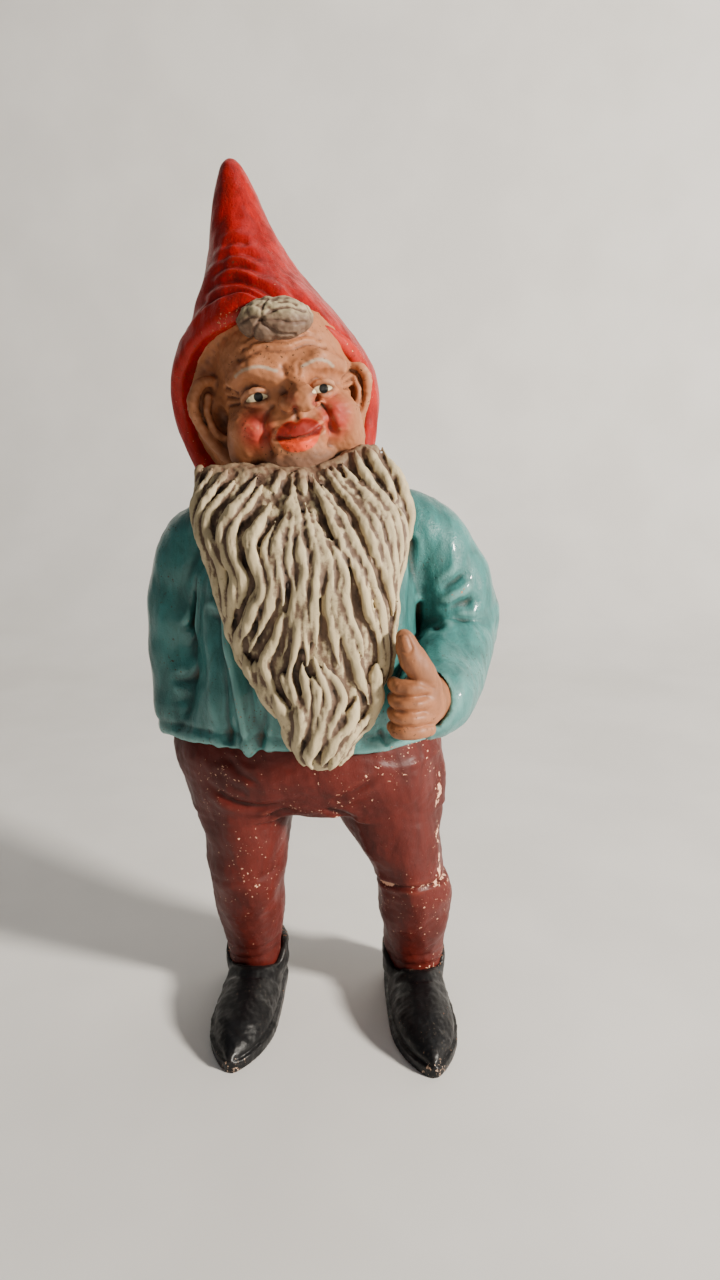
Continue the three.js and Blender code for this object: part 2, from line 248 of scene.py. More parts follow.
class Clay:
    """A block of distances to the clay's surface in millimetres, below zero inside."""

    def __init__(self, corner_low, corner_high, cell):
        self.cell = cell
        self.low = np.asarray(corner_low, float)
        axes = [np.arange(a, b + cell, cell) for a, b in zip(corner_low, corner_high)]
        self.x, self.y, self.z = np.meshgrid(*axes, indexing="ij", sparse=True)
        self.value = np.full([len(a) for a in axes], OUTSIDE, np.float32)

    def region(self, shape, margin):
        lo, hi = shape.box()
        start = np.clip(((lo - margin - self.low) / self.cell).astype(int), 0, self.value.shape)
        stop = np.clip(((hi + margin - self.low) / self.cell).astype(int) + 2, 0, self.value.shape)
        return tuple(slice(a, b) for a, b in zip(start, stop))

    def measured(self, shape, where):
        return shape.distance(self.x[where[0]], self.y[:, where[1]], self.z[:, :, where[2]])

    def add(self, shape, blend=0.0):
        where = self.region(shape, blend + 2 * self.cell)
        self.value[where] = smooth_min(self.value[where], self.measured(shape, where), blend)

    def cut(self, shape, blend=0.0):
        where = self.region(shape, blend + 2 * self.cell)
        self.value[where] = -smooth_min(-self.value[where], self.measured(shape, where), blend)

    def surface(self, smoothing=4):
        edge = np.clip(self.value, -OUTSIDE, OUTSIDE).astype(np.float32)
        for axis in range(3):
            rim = [slice(None)] * 3
            for end in (0, -1):
                rim[axis] = end
                edge[tuple(rim)] = OUTSIDE
        grid = openvdb.FloatGrid(OUTSIDE)
        grid.copyFromArray(edge)
        grid.transform = openvdb.createLinearTransform(voxelSize=self.cell)
        points, quads = grid.convertToQuads(0.0)
        return Skin(points.astype(float) + self.low, quads.astype(int)).relax(smoothing)


class Skin:
    """The clay's surface as points and quads, with the tooling that works on it."""

    def __init__(self, points, quads):
        self.points = points
        self.quads = quads
        pairs = np.concatenate([quads[:, [0, 1]], quads[:, [1, 2]], quads[:, [2, 3]], quads[:, [3, 0]]])
        pairs = np.unique(np.sort(pairs, axis=1), axis=0)
        self.one = np.concatenate([pairs[:, 0], pairs[:, 1]])
        self.other = np.concatenate([pairs[:, 1], pairs[:, 0]])
        self.count = np.maximum(np.bincount(self.one, minlength=len(points)), 1)

    def around(self, values):
        """Each point's average over its neighbours."""
        if values.ndim == 1:
            return np.bincount(self.one, values[self.other], len(self.points)) / self.count
        return np.column_stack([self.around(column) for column in values.T])

    def relax(self, rounds):
        for _ in range(rounds):
            for strength in (0.5, -0.52):
                self.points = self.points + strength * (self.around(self.points) - self.points)
        return self

    def normals(self):
        a, b, c, d = (self.points[self.quads[:, k]] for k in range(4))
        face = np.cross(c - a, d - b)
        size = len(self.points)
        total = np.column_stack(
            [sum(np.bincount(self.quads[:, k], along, size) for k in range(4)) for along in face.T]
        )
        return total / np.maximum(np.linalg.norm(total, axis=1, keepdims=True), 1e-12)

    def tool(self, height):
        """Raises the surface by a height at each point, mm."""
        self.points = self.points + self.normals() * height[:, None]
        return self

    def within(self, placing):
        """The same skin in a placing's own coordinates."""
        return Skin(np.column_stack(placing.inside(*self.points.T)), self.quads)

    def hollow(self, rounds=24):
        """How far each point lies below the surface smoothed around it, mm."""
        soft = self.points
        for _ in range(rounds):
            soft = soft + 0.6 * (self.around(soft) - soft)
        depth = ((soft - self.points) * self.normals()).sum(1)
        return 0.5 * depth + 0.5 * self.around(depth)

    def line_distance(self, points, placing=None, flat=None, along=False):
        """Distance from each point to a smooth line, with flat as an axis to leave out.

        With along, also how far along the line each point lies, from 0 to 1.
        """
        rows = np.asarray(points, float)
        if placing:
            rows = placing.outside(rows)
        if len(rows) > 2:
            rows = spline(rows, 6 * len(rows))
        keep = [k for k in range(3) if k != flat]
        here = self.points[:, keep]
        best = np.full(len(here), 1e9)
        share = np.zeros(len(here))
        for k, (a, b) in enumerate(zip(rows[:-1, keep], rows[1:, keep])):
            run = b - a
            t = np.clip((here - a) @ run / max(run @ run, 1e-9), 0, 1)
            away = np.linalg.norm(here - a - t[:, None] * run, axis=1)
            share = np.where(away < best, (k + t) / (len(rows) - 1), share)
            best = np.minimum(best, away)
        return (best, share) if along else best

    def crease(self, points, width, depth, flat=None, lips=0.45):
        """Heights of a crease that fades at both ends, with a soft fold along each side."""
        away, share = self.line_distance(points, flat=flat, along=True)
        fade = smooth_step(share, 0, 0.25) * smooth_step(share, 1, 0.75)
        return -depth * fade * (bump(away, width) - lips * bump(away - 2.4 * width, 1.3 * width))


def unevenness(points, scale, seed, waves=14):
    """Smooth hand-made unevenness between about -1 and 1, with lumps of a given size in mm."""
    random = np.random.default_rng(seed)
    total = np.zeros(len(points))
    for _ in range(waves):
        heading = random.normal(size=3)
        heading *= (0.6 + 0.8 * random.random()) * 2 * math.pi / scale / np.linalg.norm(heading)
        total += np.sin(points @ heading + random.random() * 2 * math.pi)
    return total / math.sqrt(waves)


def ring_of(rows, finer=6):
    """A closed smooth ring through rows of points."""
    rows = np.asarray(rows, float)
    wrapped = np.vstack([rows[-1], rows, rows[:2]])
    ring = []
    for i in range(len(rows)):
        a, b, c, d = wrapped[i : i + 4]
        for t in np.arange(finer) / finer:
            bend = (2 * a - 5 * b + 4 * c - d) * t**2 + (3 * b - a - 3 * c + d) * t**3
            ring.append(0.5 * (2 * b + (c - a) * t + bend))
    return np.array(ring)


def outline_distance(outline, u, v):
    """Signed distance to a smooth closed outline in a plane, below zero inside."""
    ring = ring_of(outline)
    away = np.full(u.shape, 1e9)
    inside = np.zeros(u.shape, bool)
    for a, b in zip(ring, np.roll(ring, -1, axis=0)):
        run = b - a
        t = np.clip(((u - a[0]) * run[0] + (v - a[1]) * run[1]) / max(run @ run, 1e-9), 0, 1)
        away = np.minimum(away, np.hypot(u - a[0] - t * run[0], v - a[1] - t * run[1]))
        if a[1] != b[1]:
            crossed = (a[1] > v) != (b[1] > v)
            inside ^= crossed & (u < (b[0] - a[0]) * (v - a[1]) / (b[1] - a[1]) + a[0])
    return np.where(inside, -away, away)


def into_blender(name, skin, material, marks=None, replaces=()):
    """Makes the finished mesh object of a skin, in the row frame, with its marks as attributes."""
    mesh = bpy.data.meshes.new(name)
    count = len(skin.quads)
    mesh.vertices.add(len(skin.points))
    mesh.vertices.foreach_set("co", ((skin.points + ORIGIN) * MM).astype(np.float32).ravel())
    mesh.loops.add(count * 4)
    mesh.loops.foreach_set("vertex_index", skin.quads.astype(np.int32).ravel())
    mesh.polygons.add(count)
    mesh.polygons.foreach_set("loop_start", np.arange(0, count * 4, 4, dtype=np.int32))
    mesh.polygons.foreach_set("use_smooth", np.ones(count, bool))
    mesh.update(calc_edges=True)
    mesh.validate()
    for label, values in (marks or {}).items():
        layer = mesh.attributes.new(label, "FLOAT", "POINT")
        layer.data.foreach_set("value", np.asarray(values, np.float32))
    piece = bpy.data.objects.new(name, mesh)
    bpy.context.scene.collection.objects.link(piece)
    mesh.materials.append(material)
    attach(piece, "root")
    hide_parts(*replaces)
    return piece


# ---------------------------------------------------------------- paint and its wear
def group_of(name, inputs, outputs):
    """A new shader group with its sockets, and its two end nodes."""
    tree = bpy.data.node_groups.new(name, "ShaderNodeTree")
    for label, kind, value in inputs:
        socket = tree.interface.new_socket(label, in_out="INPUT", socket_type=kind)
        socket.default_value = value
    for label, kind in outputs.items():
        tree.interface.new_socket(label, in_out="OUTPUT", socket_type=kind)
    return tree, tree.nodes.new("NodeGroupInput"), tree.nodes.new("NodeGroupOutput")


class Bench:
    """Places and joins nodes in one tree."""

    def __init__(self, tree):
        self.tree = tree

    def put(self, kind, **sockets):
        node = self.tree.nodes.new(kind)
        for key, value in sockets.items():
            self.feed(node, key.replace("_", " "), value)
        return node

    def feed(self, node, key, value):
        target = node.inputs[int(key)] if key.isdigit() else node.inputs[key]
        if isinstance(value, bpy.types.NodeSocket):
            self.tree.links.new(value, target)
        else:
            target.default_value = value

    def math(self, operation, *values, clamp=False):
        node = self.tree.nodes.new("ShaderNodeMath")
        node.operation = operation
        node.use_clamp = clamp
        for index, value in enumerate(values):
            self.feed(node, str(index), value)
        return node.outputs[0]

    def edge(self, distance, ragged, start, end):
        """A ramp along a distance, with a ragged edge."""
        return self.ramp(self.math("ADD", distance, ragged), start, end)

    def ramp(self, value, start, end, low_out=0.0, high_out=1.0):
        """Smoothly from low_out at start to high_out at end."""
        node = self.tree.nodes.new("ShaderNodeMapRange")
        node.interpolation_type = "SMOOTHSTEP"
        for index, item in enumerate((value, start, end, low_out, high_out)):
            self.feed(node, str(index), item)
        return node.outputs[0]

    def blend(self, amount, under, over):
        node = self.tree.nodes.new("ShaderNodeMix")
        node.data_type = "RGBA"
        self.feed(node, "0", amount)
        self.feed(node, "6", under)
        self.feed(node, "7", over)
        return node.outputs[2]

    def noise(self, where, size, detail=3.0, rough=0.5, warp=0.0):
        """Noise with lumps of about a size in millimetres."""
        if isinstance(size, bpy.types.NodeSocket):
            scale = self.math("DIVIDE", 1000.0, size)
        else:
            scale = 1 / (size * MM)
        node = self.put("ShaderNodeTexNoise", Vector=where, Scale=scale, Detail=detail)
        node.inputs["Roughness"].default_value = rough
        node.inputs["Distortion"].default_value = warp
        return node.outputs[0]

    def ragged(self, where, size, detail, rough, spread):
        """Noise about zero that moves an edge to and fro, by up to half the spread."""
        noise = self.noise(where, size, detail, rough)
        return self.math("MULTIPLY", self.math("SUBTRACT", noise, 0.5), spread)

    def mark(self, name):
        node = self.tree.nodes.new("ShaderNodeAttribute")
        node.attribute_name = name
        return node.outputs["Fac"]

    def place(self):
        return self.tree.nodes.new("ShaderNodeTexCoord").outputs["Object"]


def make_brushwork():
    """Streaky oil paint: an uneven colour, gloss that comes and goes, and low brush ridges."""
    inputs = [
        ("Place", "NodeSocketVector", (0, 0, 0)),
        ("Streak size", "NodeSocketFloat", 6.0),
        ("Paint", "NodeSocketColor", (0.5, 0.5, 0.5, 1)),
        ("Deep paint", "NodeSocketColor", (0.3, 0.3, 0.3, 1)),
    ]
    outputs = {"Color": "NodeSocketColor", "Gloss": "NodeSocketFloat", "Height": "NodeSocketFloat"}
    tree, source, sink = group_of("Brushwork", inputs, outputs)
    b = Bench(tree)
    place = source.outputs["Place"]
    stretched = b.put("ShaderNodeMapping", Vector=place, Scale=(1, 1, 0.34)).outputs[0]
    streaks = b.noise(stretched, source.outputs["Streak size"], 6.0, 0.62, 0.6)
    clouds = b.noise(place, 17.0, 3.0, 0.5)
    fine = b.noise(place, 0.55, 3.0, 0.62)
    pits = b.ramp(b.noise(place, 0.8, 2.0, 0.5), 0.33, 0.25)
    tone = b.math("ADD", b.math("MULTIPLY", streaks, 0.6), b.math("MULTIPLY", clouds, 0.4))
    colour = b.blend(b.ramp(tone, 0.36, 0.62), source.outputs["Deep paint"], source.outputs["Paint"])
    tree.links.new(colour, sink.inputs["Color"])
    tree.links.new(b.ramp(streaks, 0.3, 0.7), sink.inputs["Gloss"])
    low_ridges = b.math("ADD", b.math("MULTIPLY", streaks, 0.8), b.math("MULTIPLY", fine, 0.35))
    low_ridges = b.math("SUBTRACT", low_ridges, b.math("MULTIPLY", pits, 0.35))
    tree.links.new(low_ridges, sink.inputs["Height"])
    return tree


def make_chips():
    """Small flakes where the paint has come off, more of them on what stands proud."""
    inputs = [
        ("Place", "NodeSocketVector", (0, 0, 0)),
        ("Flake size", "NodeSocketFloat", 1.2),
        ("Amount", "NodeSocketFloat", 0.3),
        ("Proud", "NodeSocketFloat", 0.0),
    ]
    outputs = {"Mask": "NodeSocketFloat", "Rim": "NodeSocketFloat"}
    tree, source, sink = group_of("Paint chips", inputs, outputs)
    b = Bench(tree)
    place = source.outputs["Place"]
    flakes = b.noise(place, source.outputs["Flake size"], 2.0, 0.55, 0.3)
    level = b.math("ADD", flakes, b.ragged(place, 15.0, 2.0, 0.5, 0.34))
    level = b.math("ADD", level, b.math("MULTIPLY", source.outputs["Proud"], 0.16))
    level = b.math("ADD", level, b.math("MULTIPLY", source.outputs["Amount"], 0.2))
    tree.links.new(b.ramp(level, 0.765, 0.785), sink.inputs["Mask"])
    tree.links.new(b.ramp(level, 0.735, 0.77), sink.inputs["Rim"])
    return tree


def make_grime():
    """Brown dirt that has settled in the hollows, and scattered specks of it."""
    inputs = [
        ("Place", "NodeSocketVector", (0, 0, 0)),
        ("Hollow", "NodeSocketFloat", 0.0),
        ("Reach", "NodeSocketFloat", 0.25),
        ("Specks", "NodeSocketFloat", 0.3),
    ]
    tree, source, sink = group_of("Settled grime", inputs, {"Mask": "NodeSocketFloat"})
    b = Bench(tree)
    place = source.outputs["Place"]
    ragged = b.ragged(place, 1.1, 5.0, 0.68, 0.5)
    depth = b.math("ADD", source.outputs["Hollow"], b.math("MULTIPLY", ragged, 0.7))
    settled = b.ramp(depth, source.outputs["Reach"], b.math("MULTIPLY", source.outputs["Reach"], 2.4))
    dots = b.ramp(b.noise(place, 0.8, 2.0, 0.5), 0.64, 0.70)
    areas = b.ramp(b.noise(place, 11.0, 2.0, 0.5), 0.46, 0.62)
    scattered = b.math("MULTIPLY", b.math("MULTIPLY", dots, areas), source.outputs["Specks"])
    tree.links.new(b.math("MAXIMUM", settled, scattered, clamp=True), sink.inputs["Mask"])
    return tree


def shared(name):
    makers = {"Brushwork": make_brushwork, "Paint chips": make_chips, "Settled grime": make_grime}
    return bpy.data.node_groups.get(name) or makers[name]()


class Paint:
    """One material: paint over fired clay, worn and dirty. Colours are linear."""

    chips = None
    dirt = None

    def __init__(self, name):
        self.material = bpy.data.materials.new(name)
        self.material.use_nodes = True
        self.tree = self.material.node_tree
        self.tree.nodes.clear()
        self.b = Bench(self.tree)
        self.shader = self.tree.nodes.new("ShaderNodeBsdfPrincipled")
        out = self.tree.nodes.new("ShaderNodeOutputMaterial")
        self.tree.links.new(self.shader.outputs[0], out.inputs[0])
        self.place = self.b.place()
        self.hollow = self.b.mark("hollow")

    def use(self, group, **sockets):
        node = self.tree.nodes.new("ShaderNodeGroup")
        node.node_tree = shared(group)
        for key, value in sockets.items():
            self.b.feed(node, key.replace("_", " "), value)
        return node.outputs

    def brushed(self, paint, deep, streak):
        """The first coat, its colour going over to the deep one in streaks of a size in mm."""
        colours = {"Paint": rgba(paint), "Deep_paint": rgba(deep)}
        outputs = self.use("Brushwork", Place=self.place, Streak_size=streak, **colours)
        self.colour, self.gloss, self.height = (outputs[k] for k in range(3))
        return self

    def shade(self, mask, colour, strength=1.0):
        """One more coat where the mask is white."""
        amount = self.b.math("MULTIPLY", mask, strength) if strength != 1.0 else mask
        self.colour = self.b.blend(amount, self.colour, rgba(colour))

    def chipped(self, amount, size, clay, rim):
        """Flakes of a size in mm, down to the clay, with a rim of another colour."""
        proud = self.b.ramp(self.hollow, -0.1, -0.6)
        flakes = {"Flake_size": size, "Amount": amount, "Proud": proud}
        outputs = self.use("Paint chips", Place=self.place, **flakes)
        self.chips = outputs["Mask"]
        self.shade(outputs["Rim"], rim, 0.35)
        self.shade(outputs["Mask"], clay)
        self.height = self.b.math("SUBTRACT", self.height, self.b.math("MULTIPLY", self.chips, 0.5))

    def grimy(self, colour, reach, specks, strength):
        """Dirt in whatever lies deeper than reach, mm, and specks of it all over."""
        where = {"Hollow": self.hollow, "Reach": reach, "Specks": specks}
        self.dirt = self.use("Settled grime", Place=self.place, **where)["Mask"]
        self.shade(self.dirt, colour, strength)

    def finish(self, dull, shiny, relief, specular=0.5, coat=0.0, coat_rough=0.2):
        """The finished material: its roughness from dull to shiny, and its relief in mm."""
        rough = self.b.ramp(self.gloss, 0.0, 1.0, dull, shiny)
        for mask in (self.chips, self.dirt):
            if mask is not None:
                rough = self.b.math("ADD", rough, self.b.math("MULTIPLY", mask, 0.35), clamp=True)
        self.tree.links.new(rough, self.shader.inputs["Roughness"])
        self.tree.links.new(self.colour, self.shader.inputs["Base Color"])
        self.shader.inputs["Specular IOR Level"].default_value = specular
        self.shader.inputs["Coat Weight"].default_value = coat
        self.shader.inputs["Coat Roughness"].default_value = coat_rough
        bumps = self.b.put("ShaderNodeBump", Height=self.height, Strength=1.0, Distance=relief * MM)
        self.tree.links.new(bumps.outputs[0], self.shader.inputs["Normal"])
        return self.material


def rgba(colour):
    return (*colour[:3], 1.0)


def tint(colour, factor):
    return tuple(c * factor for c in colour[:3])


# ---------------------------------------------------------------- settings
def paint_setting(label, words, default):
    looks = {"subtype": "COLOR", "size": 3, "min": 0, "max": 1}
    return FloatVectorProperty(name=label, description=words, default=default, **looks)


def length_setting(label, words, default):
    """A length with its default in millimetres."""
    looks = {"unit": "LENGTH", "subtype": "DISTANCE"}
    return FloatProperty(name=label, description=words, default=default * MM, **looks)


class GnomePaints(bpy.types.PropertyGroup):
    """The oil colours the gnome is painted in."""

    hat: paint_setting("Hat red", "Bright red of the hood", (0.4, 0.005, 0.003))
    skin: paint_setting("Skin", "Flesh colour of face, ears and hand", (0.44, 0.165, 0.068))
    hair: paint_setting("Hair cream", "Cream on the ridges of the hair", (0.58, 0.47, 0.28))
    hair_wash: paint_setting("Hair wash", "Taupe wash in the grooves of the hair", (0.12, 0.068, 0.045))
    jacket: paint_setting("Jacket teal", "Blue-green of the jacket", (0.055, 0.225, 0.215))
    trousers: paint_setting("Trouser brown", "Red-brown of the trousers", (0.105, 0.012, 0.008))
    shoes: paint_setting("Shoe black", "Black of the shoes", (0.006, 0.006, 0.007))
    clay: paint_setting("Fired clay", "Terracotta under the paint", (0.82, 0.36, 0.19))
    grime: paint_setting("Grime", "Old dirt in the hollows", (0.05, 0.03, 0.014))


class GnomeSizes(bpy.types.PropertyGroup):
    """The modelled sizes that don't come from the frame."""

    face_cell: length_setting("Face grain", "Size of the smallest modelled detail of the head", 0.37)
    beard_cell: length_setting("Beard grain", "Size of the smallest modelled detail of the beard", 0.42)
    body_cell: length_setting("Body grain", "Size of the smallest modelled detail of the clothes", 0.62)
    hood_wall: length_setting("Hood wall", "Thickness of the hood's clay at its rim", 4.2)
    lock_width: length_setting("Lock width", "Width of one lock of the beard", 2.7)
    locks: IntProperty(name="Locks", description="Locks rooted along the jaw", default=25, min=8, max=80)


def paints():
    return bpy.context.scene.gnome_paints


def sizes():
    return bpy.context.scene.gnome_sizes


# Shades that the brush mixed from the main colours: painted highlights, where what stands proud is
# painted lighter, the paint rubbed thin at the toe, and the bare clay of the trousers' chips
HIGHLIGHTS_AND_WEAR = {
    "hat": (0.60, 0.035, 0.016),
    "skin": (0.72, 0.36, 0.2),
    "hand": (0.74, 0.38, 0.21),
    "jacket": (0.2, 0.46, 0.43),
    "trousers": (0.2, 0.035, 0.02),
    "shoe": (0.03, 0.026, 0.024),
    "toe": (0.62, 0.42, 0.3),
}
CHIPPED_CLAY = (0.9, 0.5, 0.33)
FACE_TONES = {
    # painted shade in the face's folds and hollows
    "folds": (0.15, 0.055, 0.026),
    "rouge": (0.36, 0.028, 0.014),
    "brows": (0.40, 0.38, 0.29),
    # the chin darker towards the beard
    "chin darkening": (0.15, 0.075, 0.045),
    "lips": (0.76, 0.06, 0.012),
    # painted shade: the upper lip, which faces down, darker than the lower
    "upper lip shade": (0.2, 0.009, 0.005),
    "mouth": (0.12, 0.006, 0.004),
    "nostrils": (0.2, 0.02, 0.012),
    "eye rims": (0.07, 0.03, 0.018),
    "eye whites": (0.72, 0.60, 0.38),
    "pupils": (0.003, 0.003, 0.003),
}
# painted shade in the hand's folds
HAND_FOLD_SHADE = (0.14, 0.045, 0.02)
# the beard darker towards its roots along the face
HAIR_ROOTS = (0.17, 0.085, 0.05)
SHOE_DUST = (0.09, 0.07, 0.05)


# ---------------------------------------------------------------- hood
HOOD_BODY = [  # x, y, z, half width, half depth, from the collar to the tip
    (-9.5, 2, 153, 18.6, 16), (-11.2, 1, 160, 21.8, 19), (-12.4, 0, 170, 24.8, 22),
    (-13, -1.2, 178, 26.2, 23.8),
    (-13.1, -2.4, 184, 26.4, 25), (-13.2, -4, 190.5, 25, 25), (-13.8, -6, 197.5, 21.4, 23),
    (-15.2, -7, 203.5, 17.4, 20.6), (-17.4, -6.2, 211, 12.9, 14.6), (-19.6, -4.4, 218, 9.5, 10.4),
    (-21.4, -2.6, 225.5, 7.1, 7.3), (-22.6, -1.2, 232.5, 5.0, 5.1), (-23.4, -0.4, 238, 2.7, 2.8),
    (-23.6, 0, 240, 0.9, 0.9),
]
RIM = [(-34, 207), (-27, 201), (-17, 193), (-11, 184), (-9, 174), (-10.5, 162), (-13, 150)]  # side view: y, z
RIM_SLOPE = 0.85  # turns a distance along Y into one square to the rim
HOOD_FOLDS = [  # front view: depth and x, z of each fold across the hood
    (0.85, [(-31, 204.5), (-26, 208.6), (-20, 209.6), (-13, 206.6), (-8, 202)]),
    (0.75, [(-29, 208), (-24, 212.2), (-18.4, 212.6), (-12, 209)]),
    (0.6, [(-27, 212.5), (-22.6, 215.6), (-17.6, 215.4), (-13, 212)]),
    (0.45, [(-25, 217), (-21.5, 218.8), (-17, 217.4)]),
    (0.7, [(-34, 199), (-30.5, 203.8), (-27, 206)]),
    (0.6, [(-8, 207.5), (-3, 201.5), (2, 196)]),
]


def front_view(points):
    """Points given as x, z with a y to leave out."""
    return [(x, 0, z) for x, z in points]


def behind_rim(y, z):
    """How far behind the hood's opening a point is, mm."""
    rows = spline(RIM, 60)[::-1]
    return y - np.interp(z, rows[:, 1], rows[:, 0])


def hood_skin():
    wall = sizes().hood_wall / MM
    clay = Clay((-43, -31, 149), (17, 27, TIP + 3), HOOD_CELL)
    clay.add(Stack(HOOD_BODY))
    inner = Stack([row for row in HOOD_BODY if row[2] < 226], grow=-wall)
    clay.cut(Shape(inner.distance), 0.8)
    clay.cut(Shape(lambda x, y, z: behind_rim(y, z) * RIM_SLOPE), 1.8)
    skin = clay.surface(5)
    x, y, z = skin.points.T
    back = behind_rim(y, z) * RIM_SLOPE
    outside = smooth_step(-Stack(HOOD_BODY).distance(x, y, z), 2.6, 1.2)
    band = 2.2 + 4.6 * smooth_step(-x, 12, 20) * smooth_step(z, 168, 184)
    height = 0.75 * outside * smooth_step(back, band + 0.9, band - 0.3) * smooth_step(z, 152, 162)
    height -= 0.5 * outside * bump(back - band - 0.9, 0.8)
    front = smooth_step(-skin.normals()[:, 1], -0.15, 0.5) * outside
    for depth, fold in HOOD_FOLDS:
        height += front * skin.crease(front_view(fold), 0.85, depth, flat=1, lips=0.7)
    broad = smooth_step(z, 222, 200)
    height += (0.1 + 0.25 * broad) * unevenness(skin.points * (1, 1, 0.6), 14, 3)
    height += 0.07 * unevenness(skin.points * (1, 1, 0.4), 3.4, 4)
    return skin.tool(height * smooth_step(z, TIP, TIP - 8))


def hood_paint():
    p = paints()
    paint = Paint("Hat red").brushed(p.hat, tint(p.hat, 0.5), 3.4)
    # painted shade: the red darkened in the folds and hollows
    paint.shade(paint.b.ramp(paint.hollow, 0.04, 0.4), tint(p.hat, 0.25), 0.75)
    # painted highlight: the red made lighter on what stands proud
    paint.shade(paint.b.ramp(paint.hollow, -0.2, -0.7), HIGHLIGHTS_AND_WEAR["hat"], 0.4)
    paint.chipped(-0.32, 0.7, tint(p.clay, 0.9), tint(p.hat, 0.5))
    paint.grimy(tint(p.grime, 1.2), 0.5, 0.8, 0.8)
    return paint.finish(0.62, 0.4, coat=0.22, relief=0.4, specular=0.18, coat_rough=0.06)


# ---------------------------------------------------------------- head
EARS = {  # side: (place in the head's frame, size)
    -1: ((-18.1, -6.6, -3.6), 1.02),
    1: ((15.6, -7.4, -2.8), 0.82),
}


def ear_parts(side):
    """Shapes of one ear, side -1 for the gnome's own right."""
    centre, size = EARS[side]
    turn = Matrix.Rotation(side * math.radians(-22), 3, "Z") @ Matrix.Rotation(side * math.radians(9), 3, "Y")
    ear = Placing(HEAD.outside([centre])[0], HEAD.rotation @ np.array(turn))
    rim = [
        (-3.0, -0.6, 5.2), (-0.8, -1.2, 8.8), (2.8, -1.2, 8.4), (5.2, -0.8, 4.6), (5.0, -0.6, -0.6),
        (3.2, -0.6, -5.4), (1.4, -0.8, -8.8),
    ]
    fold = [(1.0, -1.2, 5.4), (2.6, -1.5, 2.0), (2.2, -1.5, -2.8), (0.2, -1.4, -5.2)]

    def fitted(points):
        return [(side * size * x, size * y, size * z) for x, y, z in points]

    def ball(centre, radii):
        return Ball(fitted([centre])[0], [size * r for r in radii], (0, 8 * side, 0), ear)

    return {
        "plate": ball((0.6, 1.2, -0.2), (4.9, 2.0, 9.2)),
        "rim": Rope(fitted(rim), [size * r for r in (0.9, 1.25, 1.4, 1.4, 1.2, 1.2, 1.5)], ear),
        "inner fold": Rope(fitted(fold), 0.85 * size, ear),
        "lobe": ball((0.2, -0.5, -8.8), (2.5, 1.9, 2.6)),
        "bowl": ball((-0.7, -2.2, -0.8), (2.1, 2.2, 3.9)),
        "tragus": ball((-3.2, -1.4, -2.4), (1.3, 1.4, 1.9)),
    }


NOSE_X = 3.1  # the nose points a little towards the left hand


